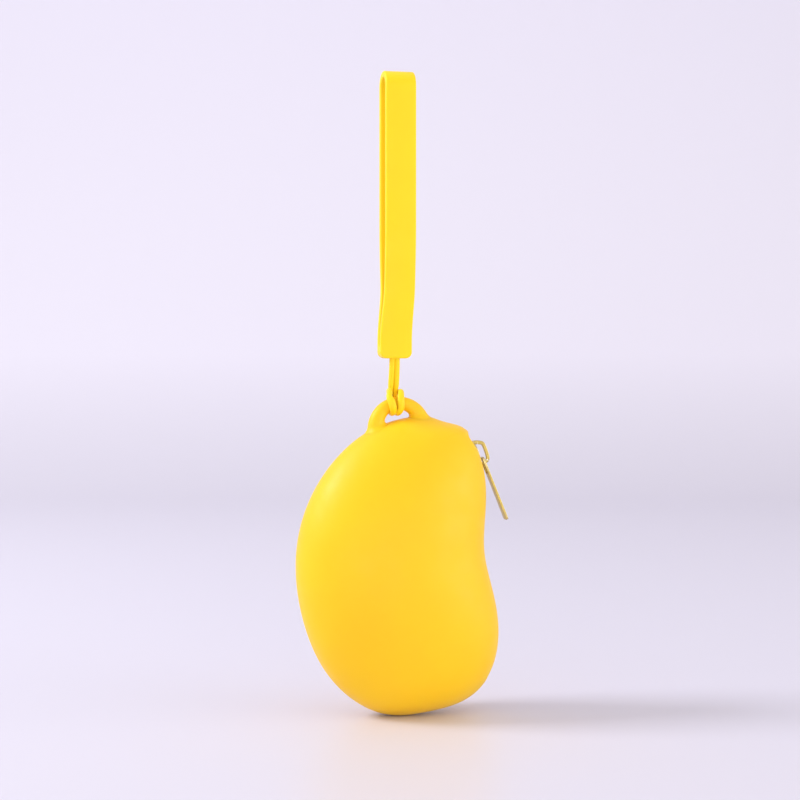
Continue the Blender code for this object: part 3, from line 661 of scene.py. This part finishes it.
def pouch_body(slot_end):
    """Points and faces of the thin moulding: both its faces and the round lip of its slot."""
    sides = 132
    lip_steps = 8
    rows = skin_rows(slot_end)
    share = np.arange(sides + 1) / sides
    # How far each line of the skin gives way to the slot: all beside it, none past a quarter turn
    yielding = np.where(share < 0.25, 1 + np.cos(4 * np.pi * share), 0) / 2
    yielding -= np.where(share > 0.75, 1 + np.cos(4 * np.pi * (1 - share)), 0) / 2
    points, outer, inner = [], [], []

    def store(grid_points):
        points.extend(grid_points.tolist())
        return list(range(len(points) - len(grid_points), len(points)))

    for turn, half in rows:
        edge = 0.0 if half is None else math.asin(half / ring_depth(turn))
        around = 2 * np.pi * share + edge * yielding
        used = around[:-1] if half is None else around
        turns = np.full(used.shape, turn)
        face = skin(turns, used)
        face[:, 2] = np.maximum(face[:, 2], BASE_FLAT_RISE - HANG_Z)
        for store_in, grid_points in ((outer, face), (inner, skin_inside(turns, used, WALL))):
            index = store(grid_points)
            store_in.append(index + index[:1] if half is None else index)
    faces = []
    for grid in (outer, inner):
        for row, after in zip(grid, grid[1:]):
            faces += bridge(row, after)
        depth = 0.0 if grid is outer else WALL
        for angle, row, way in ((0.0, grid[0], -1), (np.pi, grid[-1], 1)):
            x, z = outline(angle)
            tip_z = max(z + way * depth, BASE_FLAT_RISE - HANG_Z)
            tip = store(np.array([[x, 0.0, tip_z]]))[0]
            faces += [(tip, row[k], row[k + 1]) for k in range(sides)]
    # The lip: half a circle swept from the outer face to the inner one, all round the slot
    open_rows = [k for k, (_, half) in enumerate(rows) if half is not None]
    top, low = open_rows[0] - 1, open_rows[-1] + 1
    down = [(k, 0) for k in range(top, low + 1)]
    up = [(k, -1) for k in range(low - 1, top, -1)]
    loop = down + up
    out_points = np.array([points[outer[i][j]] for i, j in loop])
    in_points = np.array([points[inner[i][j]] for i, j in loop])
    inward = unit(in_points - out_points)
    along = unit(np.roll(out_points, -1, axis=0) - np.roll(out_points, 1, axis=0))
    towards = unit(np.cross(along, inward))
    if towards[len(down) // 2, 1] > 0:
        towards = -towards
    radius = WALL / 2
    bands = [[outer[i][j] for i, j in loop]]
    for k in range(1, lip_steps):
        a = math.pi * k / lip_steps
        bands.append(store(out_points + inward * radius * (1 - math.cos(a))
                           + towards * radius * math.sin(a)))
    bands.append([inner[i][j] for i, j in loop])
    for band, after in zip(bands, bands[1:]):
        faces += bridge(band, after, True)
    return points, faces


def ear_bar(sides):
    """Middle line of the ear's round bar and its rings of points, foot to foot."""
    centre = np.array((EAR_SHIFT, 0, BAR_Z - EAR_RADIUS))
    tilt = math.radians(EAR_TILT)
    share = np.linspace(-1, 1, 121)
    angle = share * math.pi / 2 - tilt
    path = centre + EAR_RADIUS * np.stack([np.sin(angle), 0 * angle, np.cos(angle)], -1)
    radius = (EAR_BAR_TOP + (EAR_BAR_FOOT - EAR_BAR_TOP) * share ** 2) / 2
    sink = np.array((-math.sin(tilt), 0, -math.cos(tilt))) * EAR_FOOT_SINK
    steps = np.linspace(1, 0, 9)[:-1, None]
    path = np.concatenate([path[0] + sink * steps, path, path[-1] + sink * steps[::-1]])
    radius = np.concatenate([np.repeat(radius[0], 8), radius, np.repeat(radius[-1], 8)])
    return path, tube_rings(path, radius, sides)


def ear_rings(body, fillet):
    """Rings of points of the ear: an arched bar whose feet flow into the skin in round fillets."""
    tree = BVHTree.FromPolygons([tuple(corner.co) for corner in body.vertices],
                                [tuple(face.vertices) for face in body.polygons])
    sides = 40
    path, rings = ear_bar(sides)

    def crossing(k, step, level):
        """Step at which one line of the bar, followed from its top, is this high over the skin."""
        i, last = len(rings) // 2, 0.0
        while 0 < i < len(rings) - 1:
            near, normal, _, _ = tree.find_nearest(Vector(rings[i][k]))
            now = (Vector(rings[i][k]) - near).dot(normal)
            if now <= level:
                return i - step * (level - now) / (last - now)
            last = now
            i += step
        raise RuntimeError("a foot of the ear does not reach the skin")

    def on_line(k, index):
        low = int(index)
        return rings[low][k] * (low + 1 - index) + rings[low + 1][k] * (index - low)

    def foot(k, step):
        """Curve from the bar to the skin and a little under it, and the step where it starts."""
        first = crossing(k, step, fillet)
        last = crossing(k, step, 0.0)
        start, root = on_line(k, first), on_line(k, last)
        normal = np.array(tree.find_nearest(Vector(root))[1])
        away = root - path[round(last)]
        away = unit(away - normal * away.dot(normal))
        end, normal, _, _ = tree.find_nearest(Vector(root + away * fillet))
        end, normal = np.array(end), np.array(normal)
        a = start + unit(root - start) * fillet * ARC_HANDLE
        b = end - unit(away - normal * away.dot(normal)) * fillet * ARC_HANDLE
        t = np.linspace(0, 1, 10)[:, None]
        curve = (1 - t) ** 3 * start + 3 * (1 - t) ** 2 * t * a + 3 * (1 - t) * t ** 2 * b + t ** 3 * end
        return first, [*curve[1:], end + away * 0.0005 - normal * 0.0004]

    lines = []
    for k in range(sides):
        low_start, low_foot = foot(k, -1)
        high_start, high_foot = foot(k, 1)
        bar = [on_line(k, index) for index in np.linspace(low_start, high_start, 61)]
        lines.append([*low_foot[::-1], *bar, *high_foot])
    return np.array(lines).transpose(1, 0, 2)


class POUCH_OT_body(bpy.types.Operator):
    """Build the silicone moulding with its round-lipped slot and its ear"""

    bl_idname = "pouch.body"
    bl_label = "Pouch body"

    def execute(self, context):
        look = context.scene.pouch_look
        body = new_piece("pouch_skin", *pouch_body(look.slot_end))
        ear = tube("ear_skin", ear_rings(body.data, look.ear_fillet))
        dress(join("pouch_skin", [body, ear]),
              moulded_silicone("moulded silicone, pouch", look.colour, True), "pouch", "pouch_shell")
        return {"FINISHED"}


# Zipper

def tape_flatness(s):
    """One where the tape lies flat under the coils, zero where it hugs the wall at the ends."""
    rise = np.clip((s + RAMP_REACH) / (RAMP_END + RAMP_REACH), 0, 1)
    fall = np.clip((ZIP_LENGTH + RAMP_REACH - s) / (RAMP_END + RAMP_REACH), 0, 1)
    return (3 - 2 * rise) * rise ** 2 * (3 - 2 * fall) * fall ** 2


def tape_row(s, across, depth):
    """Points of the tape square to the crest line: flat near the coils, then behind the wall."""
    centre = crest(s, 0, 0)
    way = unit(crest(s + 1e-4, 0, 0) - crest(s - 1e-4, 0, 0))
    turn = np.full(across.shape, crest_turn(s))
    around = np.zeros(across.shape)
    # Close in on the points behind the wall that lie as far across as asked
    for _ in range(12):
        hugging = skin_inside(turn, around, depth)
        turn -= (hugging - centre) @ way / (POUCH_HEIGHT / 2)
        around += (across - hugging[:, 1]) / ring_depth(turn)
    flat = crest(s, -depth - TAPE_SINK, across)
    near = np.clip((TAPE_TUCKED_HALF - abs(across)) / (TAPE_TUCKED_HALF - TAPE_FLAT_HALF), 0, 1)
    blend = (near * tape_flatness(s))[:, None]
    return hugging * (1 - blend) + flat * blend


def tape_cloth(name, side):
    """One half of the tape, from its corded edge under the coil to its hem behind the wall."""
    reach = np.array((0.00015, 0.001, 0.002, COIL_HALF, 0.0033, TAPE_FLAT_HALF, 0.0041, 0.0044,
                      TAPE_TUCKED_HALF, 0.0055, 0.0068, 0.0082))
    stations = np.linspace(-TAPE_TAIL, ZIP_LENGTH + TAPE_TAIL, 110)
    points, uv = [], []
    for s in stations:
        room = ring_depth(crest_turn(s)) - TAPE_TOP - 2 * TAPE_THICKNESS
        limit = min(1.0, 0.85 * room / reach[-1])
        across = side * (reach[0] + (reach - reach[0]) * limit)
        upper = tape_row(s, across, TAPE_TOP)
        lower = tape_row(s, across[::-1], TAPE_TOP + TAPE_THICKNESS)
        points += [*upper, *lower]
        uv += [(y * 1000, s * 1000) for y in (*across, *across[::-1])]
    return new_piece(name, points, tube_faces(len(stations), 2 * len(reach)), 40.0, uv)


def along_coil(turn, side, y, shift, steps):
    """Smooth route that repeats one turn along a row of the coil.

    The turn's points are a share of the pitch, a place sideways, counted from y, and one outward.
    """
    first = END_ROOM + STOP_LENGTH + 0.0004
    count = int((ZIP_LENGTH - 2 * first) / COIL_PITCH) - 1
    route = smooth_path([(first + (shift + k + share) * COIL_PITCH, y + drift, out)
                         for k in range(count) for share, drift, out in turn], steps)
    return crest(route[:, 0], route[:, 2], side * route[:, 1])


def coil_path(side, shift):
    """Route of one row's nylon wire: over to a head at the middle, back under, turn by turn."""
    top, low = -0.00236, -0.00325
    mid = (top + low) / 2
    turn = ((0.00, 0.0020, top), (0.00, 0.0010, top), (0.01, 0.0002, top),
            (0.03, -0.00022, top - 0.00014), (0.09, -0.00040, mid), (0.15, -0.00022, low + 0.00014),
            (0.22, 0.0002, low), (0.47, 0.0011, low), (0.74, 0.0019, low),
            (0.87, 0.0022, low + 0.00018), (0.94, 0.00224, mid), (0.98, 0.0022, top - 0.00014))
    return along_coil(turn, side, 0.0, shift, 2)


def thread_path(side, y, shift):
    """Stitches that tie the coil down: over each turn of wire and down into the tape between."""
    top, low = -0.00188, -0.0037
    stitch = ((0.0, 0.0, top), (0.2, 0.00012, top - 0.0002), (0.42, 0.0001, low),
              (0.6, -0.0001, low), (0.8, -0.00012, top - 0.0002))
    return along_coil(stitch, side, y, shift, 3)


def stop_clamp(name, start, length, y_near, y_far):
    """Small bent metal clamp that follows the crest line, with a pressed groove across it."""
    rings = []
    low, top = -0.00355, -0.00195
    for share, dip in ((0, 0.0), (0.3, 0.0), (0.42, 0.00018), (0.58, 0.00018), (0.7, 0.0), (1, 0.0)):
        section = ((low, y_near), (low, y_far), (top - dip, y_far), (top - dip, y_near))
        rings.append([crest(start + share * length, out, y) for out, y in section])
    return settle(tube(name, rings), 0.00018)


class POUCH_OT_zipper(bpy.types.Operator):
    """Build the zipper's tapes, coils, stitches and stops"""

    bl_idname = "pouch.zipper"
    bl_label = "Zipper"

    def execute(self, context):
        look = context.scene.zipper_look
        cloth = woven_tape("woven polyester tape", look.tape_colour)
        nylon = drawn_nylon("drawn nylon wire", look.coil_colour)
        thread = spun_thread("spun polyester thread", look.tape_colour)
        metal = plated_zinc("plated zinc, stops", look.metal_colour)
        for side, word, shift in ((-1, "front", 0.0), (1, "rear", 0.5)):
            tape = f"zipper_tape_{word}"
            dress(tape_cloth(f"tape_cloth_{word}", side), cloth, "pouch", tape)
            wire = tube(f"coil_wire_{word}", tube_rings(coil_path(side, shift), look.wire / 2, 10))
            dress(wire, nylon, "pouch", f"zipper_coil_{word}")
            rows = [tube("row", tube_rings(thread_path(side, y, shift), look.thread / 2, 6))
                    for y in STITCH_ROWS]
            dress(join(f"stitches_{word}", rows), thread, "pouch", tape, [])
            stop = stop_clamp(f"top_clamp_{word}", END_ROOM, STOP_LENGTH, side * 0.0002,
                              side * COIL_HALF)
            dress(stop, metal, "pouch", f"top_stop_{word}")
        low = stop_clamp("bottom_clamp", ZIP_LENGTH - END_ROOM - STOP_LENGTH, STOP_LENGTH,
                         -COIL_HALF, COIL_HALF)
        dress(low, metal, "pouch", "bottom_stop")
        return {"FINISHED"}


# Slider and pull

# Half the outline of the slider's top plate, in millimetres: along, then sideways
PLATE_SHAPE = ((-4.4, 0.0), (-4.37, 0.8), (-4.25, 1.6), (-4.0, 2.35), (-3.55, 2.95), (-2.9, 3.32),
               (-2.0, 3.45), (-0.6, 3.45), (0.8, 3.42), (2.3, 3.36), (3.3, 3.15), (3.95, 2.7),
               (4.3, 2.0), (4.4, 1.0))


def plate_edge(inset):
    """Outline of a slider plate: broad at the mouth where the rows part, then narrowing."""
    half = [(along / 1000, max(y / 1000 - inset, 0.0)) for along, y in PLATE_SHAPE]
    return half + [(along, -y) for along, y in reversed(half[1:])]


def slider_place(along, out, y):
    return Vector(on_slider(along, out, y))


def flange(name, side):
    """Side wall of the slider, which keeps one row of the coil in the channel."""
    rings = []
    for along, outer in ((-0.0031, 0.00325), (-0.002, 0.00344), (0.0, 0.00344), (0.002, 0.00336),
                         (0.0035, 0.0031)):
        section = ((-0.0032, outer), (-0.0032, outer - 0.00045), (-0.0011, outer - 0.00045),
                   (-0.0011, outer))
        rings.append([on_slider(along, out, side * y) for out, y in section])
    return settle(tube(name, rings), 0.00013)


def strip_rings(path, half_width, thickness, rounding, place):
    """Rings of a flat strip, of a thickness at each point, bent along (along, out) points."""
    path = np.asarray(path, float)
    way = unit(np.gradient(path, axis=0))
    corner, edge = [], []
    for centre_y, centre_out, start in ((1, 1, 0), (-1, 1, 90), (-1, -1, 180), (1, -1, 270)):
        for angle in (0, 30, 60, 90):
            a = math.radians(start + angle)
            corner.append(centre_y * (half_width - rounding) + rounding * math.cos(a))
            edge.append((centre_out, rounding * (math.sin(a) - centre_out)))
    rings = []
    for (along, out), (way_along, way_out), thick in zip(path, way, thickness):
        lifts = [side * thick / 2 + more for side, more in edge]
        rings.append([place(along - way_out * lift, out + way_along * lift, y)
                      for y, lift in zip(corner, lifts)])
    return np.array(rings)


def make_crown():
    """Bent strip over the slider's top plate: leaning leg, straight bridge, curled-in end."""
    # In millimetres: along the slider, then outward
    route = np.array(((-4.3, -1.1), (-4.15, -0.5), (-3.85, 0.4), (-3.45, 1.2), (-3.05, 1.85),
                      (-2.5, 2.2), (-1.6, 2.35), (0.0, 2.42), (1.3, 2.45), (2.3, 2.4), (3.0, 2.1),
                      (3.4, 1.5), (3.5, 0.8), (3.35, 0.15), (2.95, -0.2)))
    path = smooth_path(route / 1000, 5)
    share = np.linspace(0, 1, len(path))
    thickness = CROWN_STRIP * np.interp(share, (0, 0.3, 0.42, 0.9, 1), (1.35, 1.15, 1, 1, 0.85))
    return tube("crown_strip", strip_rings(path, CROWN_HALF, thickness, 0.0002, on_slider), 60.0)


class POUCH_OT_slider(bpy.types.Operator):
    """Build the zipper's slider with its crown"""

    bl_idname = "pouch.slider"
    bl_label = "Slider"

    def execute(self, context):
        metal = plated_zinc("plated zinc, slider", context.scene.zipper_look.metal_colour)
        shape = [flat_plate(name, plate_edge(inset), [], slider_place, low, top, 0.0002)
                 for name, inset, low, top in (("plate_top", 0.0, PLATE_BASE, PLATE_TOP),
                                               ("plate_low", 0.00045, FLOOR_LOW, FLOOR_TOP))]
        shape += [flange("flange_front", -1), flange("flange_rear", 1)]
        dress(join("slider_shape", shape, CREASE), metal, "slider", "slider_body")
        dress(make_crown(), metal, "slider", "slider_crown")
        return {"FINISHED"}


def pull_frame():
    """Axle of the pull, and its directions along the hanging pull and away from the pouch."""
    axle = on_swing(PULL_SETBACK, AXLE_RISE, 0)
    lift = math.radians(PULL_LIFT)
    square = unit(axle - SWING_CENTRE)
    away = square * math.cos(lift) - np.array((square[2], 0, -square[0])) * math.sin(lift)
    return axle, np.array((away[2], 0, -away[0])), away


class POUCH_OT_pull(bpy.types.Operator):
    """Build the flat pull with its eye and its blunt tip"""

    bl_idname = "pouch.pull"
    bl_label = "Pull tab"

    def execute(self, context):
        axle, along, away = pull_frame()

        def place(x, out, y):
            return Vector(axle + along * x + away * out + np.array((0, y, 0)))

        head = PULL_THICKNESS / 2
        tip = PULL_LENGTH - head
        half, waist = 0.0017, 0.0016
        side = [(-head, half - 0.0004), (-head * 0.3, half - 0.00012), (head, half), (0.0045, half),
                (0.0058, half - 0.0001), (0.0075, waist), (tip - 0.0072, waist),
                (tip - 0.0045, half - 0.00005), (tip - 0.0034, half)]
        side += [(tip - PULL_CORNER * (1 - math.sin(a)), half - PULL_CORNER * (1 - math.cos(a)))
                 for a in np.radians((0, 18, 36, 54, 72, 90))]
        edge = [*side, (tip, 0.0), *[(x, -y) for x, y in reversed(side)]]
        eye_half, eye_end = half - 0.0007, head + PULL_EYE
        corner = [(eye_end - 0.0005, eye_half), (eye_end - 0.00014, eye_half * 0.88),
                  (eye_end, eye_half * 0.6)]
        eye = [(head, eye_half), *corner, *[(x, -y) for x, y in reversed(corner)], (head, -eye_half)]
        blade = flat_plate("pull_blade", edge, eye, place, -head, head, 0.00017)
        metal = plated_zinc("plated zinc, pull", context.scene.zipper_look.metal_colour)
        dress(blade, metal, "pull", "pull_tab")
        return {"FINISHED"}


# Strap

def band_path():
    """Middle line of the flat band: up one run, over the top and down the other."""
    half_gap = (LOOP_DEPTH - BAND_THICKNESS) / 2
    closed_gap = (BLOCK_THICKNESS - BAND_THICKNESS) / 2
    bend_z = BAND_THICKNESS / 2 - half_gap - LOOP_SAG
    taper_z = bend_z - LOOP_PARALLEL
    end_z = BLOCK_LOW + BLOCK_HEIGHT
    path = []
    for share in np.linspace(0, 1, 29):
        ease = share * share * (3 - 2 * share)
        path.append((0, closed_gap + (half_gap - closed_gap) * ease, end_z + (taper_z - end_z) * share))
    path += [(0, half_gap, z) for z in np.linspace(taper_z, bend_z, 12)[1:-1]]
    for angle in np.linspace(0, math.pi / 2, 15):
        path.append((0, half_gap * math.cos(angle), bend_z + half_gap * math.sin(angle)))
    path = np.array(path)
    return np.concatenate([path, (path * (1, -1, 1))[-2::-1]])


def band_rings(path, rounding):
    """Rings of the band's flat section with round edges and a faint line of the mould."""
    w, t, line = STRAP_WIDTH / 2, BAND_THICKNESS / 2, 0.00005
    section = []
    for side_x, side_t, start in ((1, 1, 90), (1, -1, 0), (-1, -1, -90), (-1, 1, -180)):
        for angle in (0, -22.5, -45, -67.5, -90):
            a = math.radians(start + angle)
            section.append((side_x * (w - rounding) + rounding * math.cos(a),
                            side_t * (t - rounding) + rounding * math.sin(a)))
        if side_x == side_t:
            section += [(side_x * w, side_t * 0.00014), (side_x * (w + line), 0.0),
                        (side_x * w, -side_t * 0.00014)]
    way = unit(np.gradient(path, axis=0))
    rings = []
    for point, along in zip(path, way):
        across = np.array((0, along[2], -along[1]))
        rings.append([point + np.array((x, 0, 0)) + across * lift for x, lift in section])
    return np.array(rings)


def strap_points(rounding):
    """Points and faces of the strap's band: a flat loop whose two ends run into one block."""
    rings = band_rings(band_path(), rounding)
    sides = rings.shape[1]
    points = rings.reshape(-1, 3).tolist()
    faces = tube_faces(len(rings), sides, caps=False)
    last = (len(rings) - 1) * sides
    # Round the outside from the middle of the left side to that of the right, and back inside
    outside, inside = [*range(19, 26), *range(7)], list(range(6, 20))
    arcs = []
    for k in inside:
        x, y, z = points[k]
        arc = [k]
        for a in np.radians((30, 60, 90, 120, 150)):
            arc.append(len(points))
            points.append([x, y * math.cos(a), z - y * math.sin(a)])
        arcs.append([*arc, last + k])
    for arc, after in zip(arcs, arcs[1:]):
        faces += [(arc[k], after[k], after[k + 1], arc[k + 1]) for k in range(6)]
    ring = [*outside, *arcs[0][1:6], *[last + k for k in reversed(outside)], *arcs[-1][5:0:-1]]
    top = [points[k] for k in ring]
    # Rows down the block's end, by their height above its underside, with round corners and edges
    half, thick, r, edge = STRAP_WIDTH / 2, BLOCK_THICKNESS / 2, BLOCK_CORNER, rounding
    for up in (0.0029, 0.0022, 0.00165, 0.00115, 0.00075, 0.00045, 0.00025, 0.00012, 0.00004, 0.0):
        narrow = 1 - (r - math.sqrt(r * r - (r - min(up, r)) ** 2)) / half
        thin = 1 - (edge - math.sqrt(edge * edge - (edge - min(up, edge)) ** 2)) / thick
        after = list(range(len(points), len(points) + len(ring)))
        points += [[x * narrow, y * thin, BLOCK_LOW + up] for x, y, _ in top]
        faces += bridge(ring, after, True)
        ring = after
    points.append([0.0, 0.0, BLOCK_LOW])
    faces += [(len(points) - 1, ring[k], ring[(k + 1) % len(ring)]) for k in range(len(ring))]
    points = np.array(points)
    share = np.clip((-points[:, 2] - TURN_OVER[0]) / (TURN_OVER[1] - TURN_OVER[0]), 0, 1)
    ease = share ** 2 * (3 - 2 * share)
    points[:, 0] = (points[:, 0] * (1 + BLOCK_FLARE * ease) + BAND_SHIFT
                    + (CORD_SHIFT - BAND_SHIFT) * ease)
    return points.tolist(), faces


def rear_strand(side, half, z):
    """Place and width of a neck strand at a height above the ear's bar: behind the bar, then
    forward, and pinched where the hitch goes round it."""
    share = min(max(z / (BLOCK_LOW - 0.0003 - BAR_Z), 0.0), 1.0)
    pinch = 1 - 0.18 * math.exp(-((z - NECK_PINCH) / 0.0016) ** 2)
    spread = half * (1 + 0.2 * (1 - share)) * pinch
    return (side * spread, WRAP_DEPTH * (1 - share) ** 1.6, BAR_Z + z, pinch)


def cord_route(half):
    """Route of the strap's end cord: from the block down behind the ear's bar, under it and
    up the front as one leg, back round the neck, down as the other leg, and up to the block."""
    def leg(side, bends):
        """A strand of the neck and its turn round the ear's bar."""
        neck = np.linspace(BLOCK_LOW + 0.001 - BAR_Z, 0.0016, 14)
        places = [rear_strand(side, half, z) for z in neck]
        for (x, wide), a in zip(bends, np.radians(WRAP_TURNS)):
            places.append((x / 1000, WRAP_DEPTH * math.cos(a), BAR_Z - WRAP_HEIGHT * math.sin(a), wide))
        return places

    level = BAR_Z + NECK_PINCH
    # The way round behind the neck, from the end of the left leg in front to that of the right
    collar = [(-0.0020, -0.0010, level), (-0.0016, 0.0008, level + 0.0005),
              (-0.0013, 0.0026, level + 0.0006), (-0.0009, 0.0042, level + 0.0002),
              (0.0003, 0.0047, level), (0.0017, 0.0042, level), (0.0024, 0.0028, level + 0.0001),
              (0.0024, 0.0010, level + 0.0003), (0.0021, -0.0010, level)]
    return [*leg(-1, LEFT_LEG), *[(*place, 1.0) for place in collar], *leg(1, RIGHT_LEG)[::-1]]


class POUCH_OT_strap(bpy.types.Operator):
    """Build the wrist strap: its flat band, its end block and its hitched cord"""

    bl_idname = "pouch.strap"
    bl_label = "Wrist strap"

    def execute(self, context):
        look = context.scene.strap_look
        silicone = moulded_silicone("moulded silicone, strap", look.colour, False)
        dress(new_piece("strap_band", *strap_points(look.edge)), silicone, "strap", "wrist_band")
        route = smooth_path(cord_route(look.spacing / 2), 5)
        route[:, 0] += CORD_SHIFT
        cord = tube("strap_cord", tube_rings(route[:, :3], look.cord / 2, 18, route[:, 3]))
        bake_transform(cord)
        dress(cord, silicone, None, "hitch_cord",
              ["neck_strand_left", "neck_strand_right", "hitch_cord"])
        return {"FINISHED"}


# Studio

FLOOR_Z = BASE_FLAT_RISE - HANG_Z - 0.00005
PAPER_FADE = 0.12           # height over which the painted floor shade fades
PAPER_HALF = 14.0
PAPER_TOP = 3.0
SWEEP_START = 0.8           # the paper starts to rise this far behind the pouch
SWEEP_RADIUS = 0.7
LENS = 77.0                 # millimetres, for a sensor 36 mm wide
CAMERA_Z = -0.0938
AIM_Z = -0.1132
AIM_SIDE = 0.0013
LIT_Z = -0.17               # the lamps point at this height


def aim(name, thing, place, target):
    """Object of a lamp or a camera that looks at a target."""
    item = bpy.data.objects.new(name, thing)
    item.location = place
    item.rotation_euler = (target - place).to_track_quat("-Z", "Y").to_euler()
    bpy.context.scene.collection.objects.link(item)
    return item


def add_lamp(name, place, target, size, power, colour):
    lamp = bpy.data.lights.new(name, "AREA")
    lamp.shape = "RECTANGLE"
    lamp.size, lamp.size_y = size
    lamp.energy = power
    lamp.color = colour[:3]
    aim(name, lamp, place, target).visible_camera = False


def light_room(tree, strength):
    """Even light all round; a camera, a mirror and glass see it as the pale paper goes on."""
    path = add_node(tree, "LightPath").outputs
    seen = path["Is Camera Ray"]
    for ray in ("Is Glossy Ray", "Is Transmission Ray"):
        seen = add_node(tree, "Math", {0: seen, 1: path[ray]}, operation="MAXIMUM").outputs[0]
    light = tree.nodes["Background"]
    connect(tree, light, {"Color": linear("#FFFAF1"), "Strength": strength})
    view = add_node(tree, "Background", {"Color": linear("#EDEAF8"), "Strength": 1.0})
    mix = add_node(tree, "MixShader", {0: seen, 1: light.outputs[0], 2: view.outputs[0]})
    connect(tree, tree.nodes["World Output"], {"Surface": mix.outputs[0]})


class POUCH_OT_studio(bpy.types.Operator):
    """Build the camera, the seamless paper and the lamps"""

    bl_idname = "pouch.studio"
    bl_label = "Studio"

    def execute(self, context):
        look = context.scene.stage_look
        scene = context.scene
        turn = look.azimuth
        right = Vector((math.cos(turn), math.sin(turn), 0))
        ahead = Vector((-math.sin(turn), math.cos(turn), 0))
        lens = bpy.data.cameras.new("camera")
        lens.lens = LENS
        lens.sensor_width = 36.0
        place = right * AIM_SIDE - ahead * look.distance + Vector((0, 0, CAMERA_Z))
        scene.camera = aim("camera", lens, place, right * AIM_SIDE + Vector((0, 0, AIM_Z)))
        # Paper: flat under the pouch, then up behind it in one wide curve
        profile = [(-PAPER_HALF, 0.0), (0.0, 0.0), (SWEEP_START, 0.0)]
        profile += [(SWEEP_START + SWEEP_RADIUS * math.sin(a), SWEEP_RADIUS - SWEEP_RADIUS * math.cos(a))
                    for a in np.linspace(0, math.pi / 2, 25)[1:]]
        back = SWEEP_START + SWEEP_RADIUS
        profile += [(back, 1.5), (back, PAPER_TOP)]
        points = [ahead * forward + right * x + Vector((0, 0, FLOOR_Z + up))
                  for forward, up in profile for x in (-PAPER_HALF, PAPER_HALF)]
        faces = [(k, k + 1, k + 3, k + 2) for k in range(0, len(points) - 2, 2)]
        paper = new_piece("paper", points, faces)
        paper.data.materials.append(seamless_paper("seamless paper", look.paper_colour))
        middle = Vector((0, 0, LIT_Z))
        for name, side, forward, up, size, power, colour in (
                ("left_lamp", -1.1, -0.05, 0.85, (0.45, 0.45), look.key_power, "#F5F7FF"),
                ("right_lamp", 1.2, -0.35, 0.22, (1.0, 0.5), look.fill_power, "#FFFFFF"),
                ("front_lamp", 0.0, -1.0, 0.05, (1.0, 0.2), look.front_power, "#FFFFFF")):
            place = middle + right * side + ahead * forward + Vector((0, 0, up))
            add_lamp(name, place, middle, size, power, linear(colour))
        world = bpy.data.worlds.new("room")
        world.use_nodes = True
        light_room(world.node_tree, look.sky)
        scene.world = world
        scene.view_settings.view_transform = "Standard"
        return {"FINISHED"}


OPERATORS = (POUCH_OT_studio, POUCH_OT_body, POUCH_OT_zipper, POUCH_OT_slider, POUCH_OT_pull,
             POUCH_OT_strap)
LOOKS = (("pouch_look", PouchLook), ("zipper_look", ZipperLook), ("strap_look", StrapLook),
         ("stage_look", StageLook))


class POUCH_PT_panel(bpy.types.Panel):
    """Sidebar panel with one button for each piece"""

    bl_idname = "POUCH_PT_panel"
    bl_label = "Silicone pouch"
    bl_space_type = "VIEW_3D"
    bl_region_type = "UI"
    bl_category = "Pouch"

    def draw(self, context):
        for name, look in LOOKS:
            box = self.layout.box()
            for key in look.__annotations__:
                box.prop(getattr(context.scene, name), key)
        for operator in OPERATORS:
            self.layout.operator(operator.bl_idname)


def register():
    for name, look in LOOKS:
        bpy.utils.register_class(look)
        setattr(bpy.types.Scene, name, PointerProperty(type=look))
    for item in (*OPERATORS, POUCH_PT_panel):
        bpy.utils.register_class(item)


def unregister():
    for item in (POUCH_PT_panel, *reversed(OPERATORS)):
        bpy.utils.unregister_class(item)
    for name, look in reversed(LOOKS):
        delattr(bpy.types.Scene, name)
        bpy.utils.unregister_class(look)


def main():
    register()
    bpy.ops.pouch.studio()
    bpy.ops.pouch.body()
    bpy.ops.pouch.zipper()
    bpy.ops.pouch.slider()
    bpy.ops.pouch.pull()
    bpy.ops.pouch.strap()


if __name__ == "__main__":
    main()
